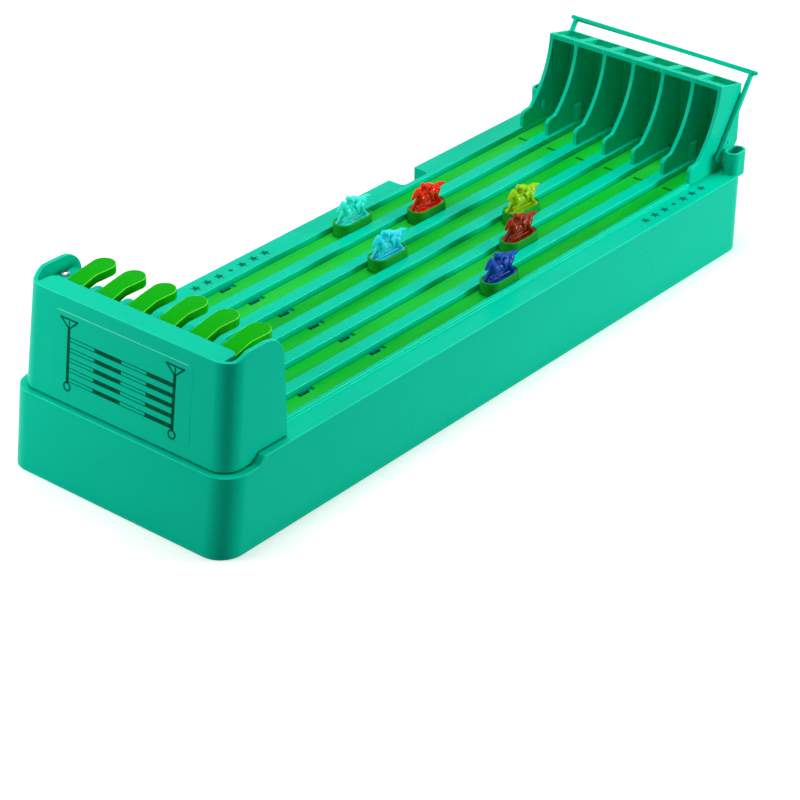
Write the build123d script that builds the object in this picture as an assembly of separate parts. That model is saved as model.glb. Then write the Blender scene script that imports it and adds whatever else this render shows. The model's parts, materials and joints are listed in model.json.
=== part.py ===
from build123d import *
import math
import os

# A six lane tabletop horse race game, in millimetres.
# +X is right, +Y runs from the players' levers to the starting stalls, +Z is up.
# The origin is on the table, under the middle of the base.

# Base moulding
deck_height = 46.0
rim_drop = 4.0
side_margin = 12.0
corner_radius = 13.0
base_wall = 2.4
near_lean = 0.12
step_start = 26.0
step_run = 4.0

# Lanes
lane_count = 6
lane_pitch = 20.0
slot_width = 12.7
lane_length = 417.0
slot_depth = 3.0
floor_thickness = 1.6
rib_rise = 1.6
lip_width = 2.6
lane_near_margin = 12.0
lane_far_margin = 5.0
rib_skin = 2.0
core_far_margin = 12.0

# Runner strips
strip_thickness = 1.4
strip_side_clearance = 0.3
strip_underside_clearance = 0.05
strip_near_gap = 0.6
strip_far_gap = 7.0
stroke = 7.8
stop_margins = (73.0, 126.4)
stop_length = 2.4
stop_width = 1.8
stop_clearance = 0.4
notch_width = 2.9
stop_slot_gap = 1.0
stop_slot_length = 5.0
stop_slot_width = 2.2
shutoff_margin = 41.0
shutoff_length = 1.8
shutoff_width = 6.0
lug_width = 4.0
lug_thickness = 1.8
lug_depth = 9.5

# Return springs
spring_radius = 2.4
spring_wire = 0.7
spring_drop = 6.6
spring_sides = 6
spring_turns = 4
spring_post_margin = 9.0
spring_post_width = 4.0
spring_post_thickness = 2.4
spring_eye_clearance = 0.15

# Lever housing
housing_wall = 2.2
housing_near_inset = 2.9
housing_side_inset = 4.0
housing_side_lean = 0.03
housing_depth = 50.5
housing_seat_clearance = 0.1
plinth_clearance = 0.6
rail_height = 97.0
rail_width = 12.7
rail_thickness = 2.2
rail_end_gap = 4.6
rail_corner = 4.0
ear_rise = 3.3
ear_corner = 12.0
ear_start = 20.0
ear_run = 6.0
ear_bend = 4.0
panel_side_margin = 24.0
panel_rise = 7.0
panel_drop = 7.3
panel_depth = 0.2
panel_corner = 3.0
boss_skin = 1.3
boss_length = 14.0

# Levers and what carries them
pivot_margin = 25.0
pivot_drop = 14.0
axle_diameter = 3.0
axle_running_clearance = 0.05
axle_end_gap = 1.0
lever_hub_diameter = 8.0
lever_hub_width = 11.0
lever_skin = 1.5
hub_sides = 12
pad_root_width = 11.4
pad_waist_width = 10.4
pad_tip_width = 12.6
pad_root_rise = 9.2
pad_tip_rise = 13.6
pad_reach = 32.0
pad_root_length = 6.0
pad_waist_run = 16.0
pad_knee_drop = 0.8
pad_depth = 4.6
arm_width = 8.0
arm_thickness = 3.0
arm_neck_thickness = 2.0
arm_slot_clearance = 0.35
arm_side_clearance = 0.6
arm_rib = 2.0
arm_rib_end = 8.0
neck_half = 3.5

cradle_web = 2.4
cradle_nose_clearance = 1.3
cradle_nose_drop = 4.5
cradle_nose_depth = 5.5
cradle_nose_corner = 2.0
cradle_nose_edge = 1.2
cradle_nose_reach = 15.0
cradle_back_reach = 20.5
cradle_back_drop = 13.5
cradle_front_reach = 7.0
cradle_end_clearance = 0.1
cradle_end_web = 1.4
ledge_drop = 4.5
ledge_thickness = 2.2
ledge_near_reach = 4.0
ledge_far_reach = 19.5
ledge_side_clearance = 0.2
cradle_screw_reach = 11.0
cradle_screw_inset = 3.18

# Starting stalls
stall_wall = 2.4
stall_slot_clearance = 0.15
stall_foot_margin = 39.0
stall_foot_rise = 10.5
stall_foot_corner = 3.0
stall_shoulder_run = 8.0
stall_shoulder_rise = 0.8
stall_sweep_sag = 4.28
stall_front_margin = 13.0
stall_rise = 51.0
stall_back_margin = 0.6
stall_overhang = 7.5
stall_overhang_low = 3.0
stall_overhang_high = 12.0
stall_roof_fall = 4.5
stall_back_wall = 2.2
stall_lip = 3.0
stall_lip_width = 2.0
stall_roof_drop = 5.5
stall_back_drop = 14.0
stall_recess_depth = 0.8
stall_recess_border = 1.0
stall_recess_near = 3.0
stall_recess_far = 1.2
stall_window_margin = 21.0
stall_window_length = 2.6
stall_window_rise = 6.5
stall_window_height = 5.5
stall_boss_diameter = 6.4
stall_boss_rise = 12.0
stall_boss_margin = 11.0
stall_screw_skin = 3.2

# Starting bail
bail_pivot_margin = 13.5
bail_pivot_rise = 8.5
bail_reach = 51.2
bail_lean = 34.0
bail_bar_width = 3.2
bail_bar_thickness = 2.4
bail_bar_corner = 1.0
bail_eye_diameter = 5.2
bail_arm_thickness = 2.0
bail_gap = 0.4
bail_overhang = 2.6
bail_pin_diameter = 4.0
bail_pin_reach = 2.0
bail_running_clearance = 0.05
bail_stop_diameter = 3.0
bail_stop_clearance = 0.3
bail_stop_along = 11.0

# Pockets at the far corners
pocket_width = 9.4
pocket_length = 13.4
pocket_wall = 1.5
pocket_rise = 13.5
pocket_inset = 0.3

# Finger notch in the left margin
notch_margin = 119.0
notch_length = 22.0
notch_reach = 10.5
notch_drop = 12.0
notch_corner = 3.0

# Star rows on the margins
star_inset = 7.0
star_radius = 2.5
star_waist = 0.42
star_dot = 0.4
star_depth = 0.3
star_pitch = 8.8
left_star_margin = 156.0
right_star_margin = 63.0

# Bottom cover and screws
cover_thickness = 2.0
cover_clearance = 0.3
cover_pad_diameter = 9.0
cover_pad_height = 3.6
head_sink = 1.8
post_diameter = 7.5
post_inset = 8.2
post_near_margin = 49.0
post_middle = 20.0
post_far_margin = 31.0
post_web = 1.6
post_web_drop = 4.0
screw_diameter = 2.6
screw_head_diameter = 5.2
screw_head_height = 1.6
screw_length = 10.0
screw_fit = 0.02
screw_tip_room = 1.0
screw_sides = 8
screw_hole_clearance = 0.2
head_recess_clearance = 0.3

# Horses
cup_length = 26.0
cup_width = 12.0
cup_height = 7.0
cup_wall = 1.3
cup_pocket = 2.6
cup_corner = 3.2
cup_lift = 0.3
plate_thickness = 1.9
plate_clearance = 0.02
horse_thickness = 3.6
bar_length = 14.2
horse_scale = 0.945
bar_width = 3.0
bar_height = 1.0
horse_places = (18.7, 57.0, 0.0, 89.0, 60.4, 17.8)

# Worked out from the values above
half_width = lane_count * lane_pitch / 2 + side_margin
base_length = lane_near_margin + lane_length + lane_far_margin
half_length = base_length / 2
rim_height = deck_height - rim_drop
slot_floor = deck_height - slot_depth
rib_height = deck_height + rib_rise
lane_centres = [(lane - (lane_count - 1) / 2) * lane_pitch for lane in range(lane_count)]
rib_centres = [(rib - (lane_count - 2) / 2) * lane_pitch for rib in range(lane_count - 1)]
rib_half = (lane_pitch - slot_width) / 2
slot_edge = lane_centres[-1] + slot_width / 2
lip_edge = slot_edge + lip_width
lane_near = -half_length + lane_near_margin
lane_far = half_length - lane_far_margin
strip_bottom = slot_floor + strip_underside_clearance
strip_top = strip_bottom + strip_thickness
strip_middle = strip_bottom + strip_thickness / 2
strip_half = slot_width / 2 - strip_side_clearance
stop_places = [lane_near + margin for margin in stop_margins]
shutoff_place = lane_far - shutoff_margin
floor_bottom = slot_floor - floor_thickness
step_low = -half_length + step_start
step_high = step_low + step_run
rim_near = -half_length + near_lean * rim_height
housing_near = rim_near + housing_near_inset
housing_far = -half_length + housing_depth
housing_half = half_width - housing_side_inset
panel_half_width = housing_half - panel_side_margin
panel_bottom = rim_height + panel_rise
panel_top = rail_height - panel_drop
ear_height = rail_height + ear_rise
ledge_height = rail_height - ledge_drop
housing_inside = housing_half - housing_side_lean * (ledge_height - rim_height) - housing_wall
pivot_place = -half_length + pivot_margin
pivot_height = rail_height - pivot_drop
pad_tip_place = pivot_place + pad_reach
pad_root_height = pivot_height + pad_root_rise
pad_tip_height = pivot_height + pad_tip_rise
arm_nose_radius = arm_thickness / 2
boss_half = screw_diameter / 2 + boss_skin
cradle_screw_place = pivot_place + cradle_screw_reach
cradle_screw_offset = housing_inside - cradle_screw_inset
cradle_nose_height = rail_height - cradle_nose_drop
cradle_nose_width = lane_pitch - pad_root_width - 2 * cradle_nose_clearance
cradle_front_place = pivot_place - cradle_front_reach
cradle_back_place = pivot_place + cradle_back_reach
cradle_end_offset = cradle_screw_offset - boss_half - cradle_end_clearance - cradle_end_web / 2
spring_height = slot_floor - spring_drop
spring_post_place = lane_far - spring_post_margin
stall_foot = (half_length - stall_foot_margin, deck_height + stall_foot_rise)
stall_front = (half_length - stall_front_margin, deck_height + stall_rise)
stall_back = (half_length + stall_overhang, deck_height + stall_rise - stall_roof_fall)
stall_inner_offset = slot_edge + stall_slot_clearance
stall_outer_offset = stall_inner_offset + stall_wall
stall_boss_offset = rib_centres[-1]
stall_boss_place = half_length - stall_boss_margin
stall_screw_seat = rib_height - stall_screw_skin
bail_offset = stall_outer_offset + bail_gap
bail_pivot_place = half_length - bail_pivot_margin
bail_pivot_height = deck_height + bail_pivot_rise
post_places = (-half_length + post_near_margin, post_middle, half_length - post_far_margin)


def box(x0, x1, y0, y1, z0, z1):
    """A box between two corners."""
    size = Box(x1 - x0, y1 - y0, z1 - z0)
    return Pos((x0 + x1) / 2, (y0 + y1) / 2, (z0 + z1) / 2) * size


def crosswise(radius, x0, x1, y, z):
    """A round bar along X."""
    return Pos((x0 + x1) / 2, y, z) * Rot(0, 90, 0) * Cylinder(radius, x1 - x0)


def post(radius, x, y, z0, z1):
    """A small upright bar or hole with flat sides, its flats at the given radius."""
    outline = RegularPolygon(radius, screw_sides, major_radius=False)
    return Pos(x, y, z0) * extrude(outline, amount=z1 - z0)


def side_face(points):
    """A closed face from (y, z) points, standing in the plane X = 0."""
    return Plane.YZ * make_face(Polyline(*points, close=True))


def across(face, x0, x1):
    """A side face drawn out along X from x0 to x1."""
    return Pos(x0, 0, 0) * extrude(face, amount=x1 - x0, dir=(1, 0, 0))


def upright_edges(solid):
    """The edges that run mostly upwards."""
    return solid.edges().filter_by(lambda edge: abs((edge @ 1 - edge @ 0).Z) > 0.9 * edge.length)


def save(solid, name):
    """Write one piece to its own file."""
    export_step(solid, "parts/" + name + ".step")


def leaning_block(inset, bottom, top):
    """The base's outline, moved in by an inset, with its leaning near face."""
    near_bottom = -half_length + inset + near_lean * bottom
    near_top = -half_length + inset + near_lean * top
    far = half_length - inset
    face = side_face([(near_bottom, bottom), (far, bottom), (far, top), (near_top, top)])
    block = across(face, -half_width + inset, half_width - inset)
    return fillet(upright_edges(block), corner_radius - inset)


def star(x, y, depth_from):
    """A five pointed star, sunk into a margin."""
    points = []
    for tip in range(10):
        radius = star_radius if tip % 2 == 0 else star_radius * star_waist
        angle = math.radians(90 + 36 * tip)
        points.append((x + radius * math.cos(angle), y + radius * math.sin(angle)))
    face = make_face(Polyline(*points, close=True))
    return Pos(0, 0, depth_from - star_depth) * extrude(face, amount=2 * star_depth)


def star_row(x, middle):
    """Three stars, a dot and three stars along Y."""
    marks = [post(star_radius * star_dot, x, middle, deck_height - star_depth, deck_height + star_depth)]
    for step in (-3, -2, -1, 1, 2, 3):
        marks.append(star(x, middle + step * star_pitch, deck_height))
    return marks


def screw(x, y, seat, length, upwards):
    """A pan head screw; seat is the height under its head."""
    sign = 1 if upwards else -1
    shank_end = seat + sign * length
    head_end = seat - sign * screw_head_height
    shank = post(screw_diameter / 2, x, y, min(seat, shank_end), max(seat, shank_end))
    head = post(screw_head_diameter / 2, x, y, min(seat, head_end), max(seat, head_end))
    return shank + head


def stadium(length, width, x, y, bottom, top):
    """A block with round ends, long along Y."""
    face = Pos(x, y, bottom) * Rot(0, 0, 90) * SlotOverall(length, width)
    return extrude(face, amount=top - bottom)


def deck_cavities():
    """The hollows under the deck, one level for each thickness of skin above."""
    below = -1.0
    under_rim = leaning_block(base_wall, below, rim_height - base_wall)
    full = leaning_block(base_wall, below, deck_height - base_wall)
    under_lanes = full & box(-half_width, half_width, -half_length, half_length, below, floor_bottom)
    under_lanes -= box(-half_width, half_width, -half_length, step_high, rim_height - base_wall, deck_height)
    cavity = under_rim + under_lanes
    margin_inner = lip_edge + base_wall
    for side in (-1, 1):
        x0 = min(side * margin_inner, side * half_width)
        cavity += full & box(x0, x0 + half_width - margin_inner, step_high, half_length, floor_bottom - 1,
                             deck_height)
    core = rib_half - rib_skin
    for x in rib_centres:
        cavity += box(x - core, x + core, step_high, lane_far - core_far_margin, floor_bottom - 1,
                      rib_height - rib_skin)
    return cavity


def base_block():
    """The base's outer block with the low rim at its near end."""
    above = deck_height + 10
    beyond = -half_length - 10
    step = [(beyond, rim_height), (step_low, rim_height), (step_high, deck_height), (step_high, above),
            (beyond, above)]
    return leaning_block(0, 0, deck_height) - across(side_face(step), -half_width - 1, half_width + 1)


def housing_plinth():
    """The raised part of the deck that the housing fits around."""
    gap = housing_wall + plinth_clearance
    half = housing_half - gap
    plinth = box(-half, half, housing_near + gap, step_high + 1, rim_height - 1, deck_height)
    near_corners = upright_edges(plinth).sort_by(Axis.Y)[:2]
    return fillet(near_corners, corner_radius - housing_near_inset - gap)


def screw_post(side, y):
    """One screw post of the base with the web that ties it to the side wall, and its bore."""
    x = side * (half_width - post_inset)
    web_end = side * (half_width - base_wall / 2)
    top = deck_height - base_wall / 2
    column = post(post_diameter / 2, x, y, cover_pad_height, top)
    column += box(min(x, web_end), max(x, web_end), y - post_web / 2, y + post_web / 2,
                  cover_pad_height + post_web_drop, top)
    return column, post(screw_diameter / 2 + screw_fit, x, y, 0, head_sink + screw_length + screw_tip_room)


def base_shell():
    """The base moulding: tub walls, deck, ribs, far pockets and screw posts."""
    above = deck_height + 10
    shell = base_block() + housing_plinth()
    for x in rib_centres:
        shell += box(x - rib_half, x + rib_half, lane_near, lane_far, slot_floor, rib_height)
    for side in (-1, 1):
        x0 = min(side * slot_edge, side * lip_edge)
        shell += box(x0, x0 + lip_width, lane_near, stall_foot[0], slot_floor, rib_height)
    for x in lane_centres:
        shell -= box(x - slot_width / 2, x + slot_width / 2, lane_near, lane_far, slot_floor, above)
    shell -= deck_cavities()
    shell += corner_pockets()
    shell = finger_notch(shell)
    star_offset = half_width - star_inset
    left_row = star_row(-star_offset, -half_length + left_star_margin)
    for mark in left_row + star_row(star_offset, half_length - right_star_margin):
        shell -= mark
    for x in lane_centres:
        shell = lane_details(shell, x)
    for y in post_places:
        for side in (-1, 1):
            column, bore = screw_post(side, y)
            shell = shell + column - bore
    for side in (-1, 1):
        x = side * stall_boss_offset
        shell -= post(screw_diameter / 2 + screw_hole_clearance, x, stall_boss_place, 0, above)
        shell -= post(screw_head_diameter / 2 + head_recess_clearance, x, stall_boss_place, 0,
                      stall_screw_seat)
    return shell


def lane_details(shell, x):
    """One lane's stop pegs with the core slots behind them, arm slot, lug slot and spring post."""
    left = x - slot_width / 2
    for y in stop_places:
        shell += box(left - floor_thickness, left + stop_width, y - stop_length / 2, y + stop_length / 2,
                     floor_bottom, strip_middle)
        slot_near = y + stop_length / 2 + stop_slot_gap
        shell -= box(left, left + stop_slot_width, slot_near, slot_near + stop_slot_length, floor_bottom - 1,
                     strip_bottom)
    arm_half = arm_width / 2 + arm_side_clearance
    arm_room = arm_nose_radius + 2 * arm_slot_clearance
    below = floor_bottom - spring_drop
    shell -= box(x - arm_half, x + arm_half, pivot_place - stroke - arm_room, pivot_place + arm_room,
                 below, strip_bottom)
    lug_half = lug_width / 2 + arm_side_clearance
    shell -= box(x - lug_half, x + lug_half, shutoff_place - stroke - lug_thickness,
                 shutoff_place + 2 * lug_thickness, floor_bottom - 1, strip_bottom)
    post_half = spring_post_width / 2
    shell += box(x - post_half, x + post_half, spring_post_place, spring_post_place + spring_post_thickness,
                 spring_height - spring_radius, floor_bottom + floor_thickness / 2)
    return shell


def corner_pockets():
    """The two thin walled pockets that stand on the far corners."""
    pockets = []
    for side in (-1, 1):
        x = side * (half_width - pocket_inset - pocket_width / 2)
        y = half_length - pocket_inset - pocket_length / 2
        outer = stadium(pocket_length, pocket_width, x, y, deck_height - 1,
                        deck_height + pocket_rise)
        inner = stadium(pocket_length - 2 * pocket_wall, pocket_width - 2 * pocket_wall, x, y,
                        deck_height, deck_height + pocket_rise + 1)
        pockets.append(outer - inner)
    return pockets


def finger_notch(shell):
    """The notch in the left margin, with its own floor and inner walls."""
    edge = -half_width
    floor = deck_height - notch_drop
    notch_far = half_length - notch_margin
    notch_near = notch_far - notch_length
    lining = box(edge + base_wall / 2, edge + notch_reach + base_wall, notch_near - base_wall,
                 notch_far + base_wall, floor - base_wall, deck_height - base_wall / 2)
    hole = box(edge - 5, edge + notch_reach, notch_near, notch_far, floor, deck_height + 5)
    inner_corners = upright_edges(hole).sort_by(Axis.X)[2:]
    return shell + lining - fillet(inner_corners, notch_corner)


def bottom_cover():
    """The flat cover that closes the base from below, with sunk seats for its screws."""
    cover = leaning_block(base_wall + cover_clearance, 0, cover_thickness)
    for y in post_places:
        for side in (-1, 1):
            x = side * (half_width - post_inset)
            cover += post(cover_pad_diameter / 2, x, y, 0, cover_pad_height)
            cover -= post(screw_head_diameter / 2 + head_recess_clearance, x, y, -1, head_sink)
            cover -= post(screw_diameter / 2 + screw_fit, x, y, -1, cover_pad_height + 1)
    return cover


def housing_block(inset, bottom, top):
    """The housing's tapered block, moved in by an inset, with round near corners."""
    far = housing_far + housing_depth
    corners = []
    fronts = []
    for z in (bottom, top):
        half = housing_half - inset - housing_side_lean * (z - rim_height)
        fronts.append((housing_near + inset + near_lean * (z - rim_height), z))
        corners.append([(-half, z), (half, z)])
    wedge = across(side_face([fronts[0], (far, bottom), (far, top), fronts[1]]), -half_width, half_width)
    end_face = Plane.XZ * make_face(Polyline(*corners[0], *reversed(corners[1]), close=True))
    block = wedge & extrude(end_face, amount=base_length, both=True)
    near_edges = upright_edges(block).sort_by(Axis.Y)[:2]
    return fillet(near_edges, corner_radius - housing_near_inset - inset)


def housing_side_outline():
    """The housing seen from the side: stepped foot, low front and tall ears."""
    foot = rim_height + housing_seat_clearance
    side_foot = deck_height + housing_seat_clearance
    near = -half_length
    ear_low = near + ear_start
    points = [(near, foot), (step_low, foot), (step_high, side_foot), (housing_far, side_foot),
              (housing_far, ear_height), (ear_low + ear_run, ear_height), (ear_low, rail_height),
              (near, rail_height)]
    outline = make_face(Polyline(*points, close=True))
    far_corner = outline.vertices().sort_by(lambda corner: corner.X + corner.Y)[-1]
    outline = fillet(far_corner, ear_corner)
    bends = outline.vertices().filter_by_position(Axis.X, ear_low - 0.1, ear_low + ear_run + 0.1)
    return Plane.YZ * fillet(bends.filter_by_position(Axis.Y, rail_height, ear_height), ear_bend)


def lever_housing():
    """The housing moulding: tapered walls, top rail, ears and screw bosses."""
    low = rim_height - 1
    high = ear_height + 1
    walls = housing_block(0, low, high) - housing_block(housing_wall, low - 1, high + 1)
    walls &= across(housing_side_outline(), -half_width, half_width)
    rail_near = housing_near + near_lean * (rail_height - rim_height)
    rail_half = housing_half - housing_side_lean * (rail_height - rim_height) - housing_wall - rail_end_gap
    rail = box(-rail_half, rail_half, rail_near + housing_wall / 2, rail_near + rail_width,
               rail_height - rail_thickness, rail_height)
    housing = walls + fillet(upright_edges(rail).sort_by(Axis.Y)[2:], rail_corner)
    boss_top = ledge_height - ledge_thickness
    bore_bottom = ledge_height - screw_length - screw_tip_room
    for side in (-1, 1):
        x = side * cradle_screw_offset
        inner = x - side * boss_half
        outer = side * half_width
        boss = box(min(inner, outer), max(inner, outer), cradle_screw_place - boss_half,
                   cradle_screw_place + boss_half, boss_top - boss_length, boss_top)
        housing += boss & housing_block(housing_wall / 2, low, high)
        housing -= post(screw_diameter / 2 + screw_fit, x, cradle_screw_place, bore_bottom, boss_top + 1)
    return housing - front_panel_recess()


def front_panel_recess():
    """The shallow sunk panel on the leaning front."""
    middle = (panel_bottom + panel_top) / 2
    face_near = housing_near + near_lean * (middle - rim_height)
    tall = (panel_top - panel_bottom) * math.hypot(1, near_lean)
    plane = Plane(origin=(0, face_near, middle), x_dir=(1, 0, 0), z_dir=(0, -1, near_lean))
    outline = plane * RectangleRounded(2 * panel_half_width, tall, panel_corner)
    return extrude(outline, amount=panel_depth, both=True)


def cradle_nose(x):
    """One finger of the cradle, between two levers, with its tip and edges cut back."""
    half = cradle_nose_width / 2
    nose = box(x - half, x + half, cradle_front_place, pivot_place + cradle_nose_reach,
               cradle_nose_height - cradle_nose_depth, cradle_nose_height)
    nose = chamfer(upright_edges(nose).sort_by(Axis.Y)[2:], cradle_nose_corner)
    return chamfer(nose.faces().sort_by(Axis.Z)[-1].edges(), cradle_nose_edge)


def lever_cradle():
    """The comb between the levers, with its back wall and screw ledges."""
    cradle = box(-cradle_end_offset, cradle_end_offset, cradle_back_place - cradle_web, cradle_back_place,
                 rib_height, rail_height - cradle_back_drop)
    for x in rib_centres:
        cradle += cradle_nose(x)
        cradle += box(x - cradle_web / 2, x + cradle_web / 2, cradle_front_place, cradle_back_place,
                      rib_height, cradle_nose_height - cradle_nose_depth / 2)
    reach = housing_inside - ledge_side_clearance
    for side in (-1, 1):
        x = side * cradle_end_offset
        cradle += box(x - cradle_end_web / 2, x + cradle_end_web / 2, cradle_front_place, cradle_back_place,
                      rib_height, ledge_height)
        cradle += box(min(x, side * reach), max(x, side * reach), pivot_place + ledge_near_reach,
                      pivot_place + ledge_far_reach, ledge_height - ledge_thickness, ledge_height)
        cradle -= post(screw_diameter / 2 + screw_hole_clearance, side * cradle_screw_offset,
                       cradle_screw_place, ledge_height - 2 * ledge_thickness, ledge_height + 1)
    return cradle - across(bar_outline(axle_diameter / 2 + screw_fit), -half_width, half_width)


def bar_outline(radius, height=pivot_height):
    """A flat sided bar along X, seen from the side, on the levers' pivot line or below it."""
    outline = RegularPolygon(radius, hub_sides, major_radius=False)
    return Plane.YZ * (Pos(pivot_place, height) * outline)


def axle_rod():
    """The steel rod that the six levers turn on."""
    half = cradle_end_offset + cradle_end_web / 2 + axle_end_gap
    return crosswise(axle_diameter / 2, -half, half, pivot_place, pivot_height)


def pad_outline():
    """The lever pad seen from above, centred on X = 0."""
    root_half = pad_root_width / 2
    tip_half = pad_tip_width / 2
    right = [(root_half, pivot_place - pad_root_length), (root_half, pivot_place),
             (pad_waist_width / 2, pivot_place + pad_waist_run), (tip_half, pad_tip_place - tip_half)]
    left = [(-x, y) for x, y in reversed(right)]
    tip = ThreePointArc(right[-1], (0, pad_tip_place), left[0])
    return make_face([Polyline(*right), tip, Polyline(*left), Line(left[-1], right[0])])


def pad_side(drop, depth):
    """The lever pad seen from the side, from a drop below its top to a depth below its top."""
    root = pivot_place - pad_root_length - 1
    knee = pivot_place + pad_waist_run
    tip = pad_tip_place + 1
    knee_height = pad_tip_height - pad_knee_drop
    top = [(root, pad_root_height - drop), (pivot_place, pad_root_height - drop), (knee, knee_height - drop),
           (tip, pad_tip_height - drop)]
    low = [(tip, pad_tip_height - depth), (knee, knee_height - depth), (pivot_place, pad_root_height - depth),
           (root, pad_root_height - depth)]
    return side_face(top + low)


def pad_hollow():
    """The space under a lever's pad, inside its skirt."""
    half = pad_waist_width / 2 - lever_skin
    start = pivot_place + lever_hub_diameter / 2 + lever_skin
    shoulder = pad_tip_place - pad_tip_width / 2
    end = pad_tip_place - lever_skin
    right = [(half, start), (half, shoulder), (half / 2, end)]
    plan = make_face(Polyline(*right, *[(-x, y) for x, y in reversed(right)], close=True))
    below = across(pad_side(lever_skin, 2 * pad_depth), -pad_tip_width, pad_tip_width)
    return below & extrude(plan, amount=2 * pad_tip_height)


def lever_arm():
    """The arm below the pivot, its stiffening rib and the round nose that moves the strip."""
    half = arm_width / 2
    half_thick = arm_neck_thickness / 2
    rib_end = strip_middle + arm_rib_end
    arm = box(-half, half, pivot_place - half_thick, pivot_place + half_thick, strip_middle, pivot_height)
    rib_face = side_face([(pivot_place, pivot_height), (pivot_place + neck_half, pivot_height),
                          (pivot_place + half_thick, rib_end), (pivot_place, rib_end)])
    nose = across(bar_outline(arm_nose_radius, strip_middle), -half, half)
    return arm + across(rib_face, -arm_rib / 2, arm_rib / 2) + nose


def finger_lever():
    """One lever at X = 0: hollow pad, hub and the arm that moves the strip."""
    half = arm_width / 2
    pad = across(pad_side(0, pad_depth), -pad_tip_width, pad_tip_width)
    pad &= extrude(pad_outline(), amount=2 * pad_tip_height)
    neck = box(-half, half, pivot_place - neck_half, pivot_place + neck_half, pivot_height,
               pad_root_height - lever_skin)
    hub = across(bar_outline(lever_hub_diameter / 2), -lever_hub_width / 2, lever_hub_width / 2)
    lever = pad - pad_hollow() + neck + hub + lever_arm()
    bore = axle_diameter / 2 + axle_running_clearance
    return lever - crosswise(bore, -lever_hub_width, lever_hub_width, pivot_place, pivot_height)


def runner_strip():
    """One lane's sliding strip at X = 0, with its stop notches and spring lug."""
    below = strip_bottom - 1
    above = strip_top + 1
    strip = box(-strip_half, strip_half, lane_near + stroke + strip_near_gap, lane_far - strip_far_gap,
                strip_bottom, strip_top)
    room = arm_nose_radius + arm_slot_clearance
    half_slot = arm_width / 2 + arm_slot_clearance
    strip -= box(-half_slot, half_slot, pivot_place - room, pivot_place + room, below, above)
    for y in stop_places:
        start = y - stop_length / 2 - stop_clearance
        end = y + stop_length / 2 + stroke + stop_clearance
        strip -= box(-slot_width / 2, -strip_half + notch_width, start, end, below, above)
    strip -= box(-shutoff_width / 2, shutoff_width / 2, shutoff_place - shutoff_length, shutoff_place,
                 below, above)
    lug = box(-lug_width / 2, lug_width / 2, shutoff_place, shutoff_place + lug_thickness,
              strip_bottom - lug_depth, strip_middle)
    return strip + lug


def return_spring():
    """One extension spring at X = 0, as a ridged bar between its two seats."""
    near = shutoff_place + lug_thickness + spring_eye_clearance
    far = spring_post_place - spring_eye_clearance
    step = (far - near) / (2 * spring_turns + 1)
    core = RegularPolygon(spring_radius - spring_wire, spring_sides)
    ridge = RegularPolygon(spring_radius, spring_sides)
    spring = extrude(core, amount=far - near)
    for turn in range(spring_turns):
        spring += Pos(0, 0, (2 * turn + 1) * step) * extrude(ridge, amount=step)
    return Pos(0, far, spring_height) * Rot(90, 0, 0) * spring


def stall_back_line(inset, bottom):
    """The back of the stalls seen from the side, from above the overhang down to its foot."""
    foot = half_length - stall_back_margin - inset
    knee = (stall_back[0] - inset, deck_height + stall_overhang_high)
    return [knee, (foot, deck_height + stall_overhang_low), (foot, bottom)]


def stall_outline(bottom):
    """A stall wall seen from the side, standing on a given height."""
    shoulder = (stall_foot[0] + stall_shoulder_run, stall_foot[1] + stall_shoulder_rise)
    start = (stall_foot[0], bottom)
    sweep = SagittaArc(shoulder, stall_front, -stall_sweep_sag)
    outline = make_face([Polyline(start, stall_foot, shoulder), sweep,
                         Polyline(stall_front, stall_back, *stall_back_line(0, bottom), start)])
    corner = outline.vertices().sort_by_distance((*stall_foot, 0))[0]
    return Plane.YZ * fillet(corner, stall_foot_corner)


def stall_canopy():
    """The roof and back of the stalls, with a curved inside."""
    inner_back = stall_back[0] - stall_back_wall
    lip_bottom = stall_front[1] - stall_lip
    back_line = stall_back_line(0, deck_height)
    inner_line = stall_back_line(stall_back_wall, deck_height)
    lip_inner = (stall_front[0] + stall_lip_width, lip_bottom)
    hollow = (inner_back - stall_back_wall, lip_bottom - stall_roof_drop)
    back_end = (inner_back, lip_bottom - stall_back_drop)
    outside = Polyline(*reversed(back_line), stall_back, stall_front, (stall_front[0], lip_bottom), lip_inner)
    inside = Polyline(back_end, *inner_line, back_line[-1])
    return Plane.YZ * make_face([outside, ThreePointArc(lip_inner, hollow, back_end), inside])


def roof_recess(x):
    """The shallow recess in the roof above one stall."""
    slope = stall_roof_fall / (stall_back[0] - stall_front[0])
    half = lane_pitch / 2 - stall_wall / 2 - stall_recess_border
    near = stall_front[0] + stall_recess_near
    far = stall_back[0] - stall_recess_far
    low = stall_front[1] - stall_recess_depth
    points = [(y, low - slope * (y - stall_front[0]) + lift) for y, lift in
              ((near, 0), (far, 0), (far, stall_lip), (near, stall_lip))]
    return across(side_face(points), x - half, x + half)


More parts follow.
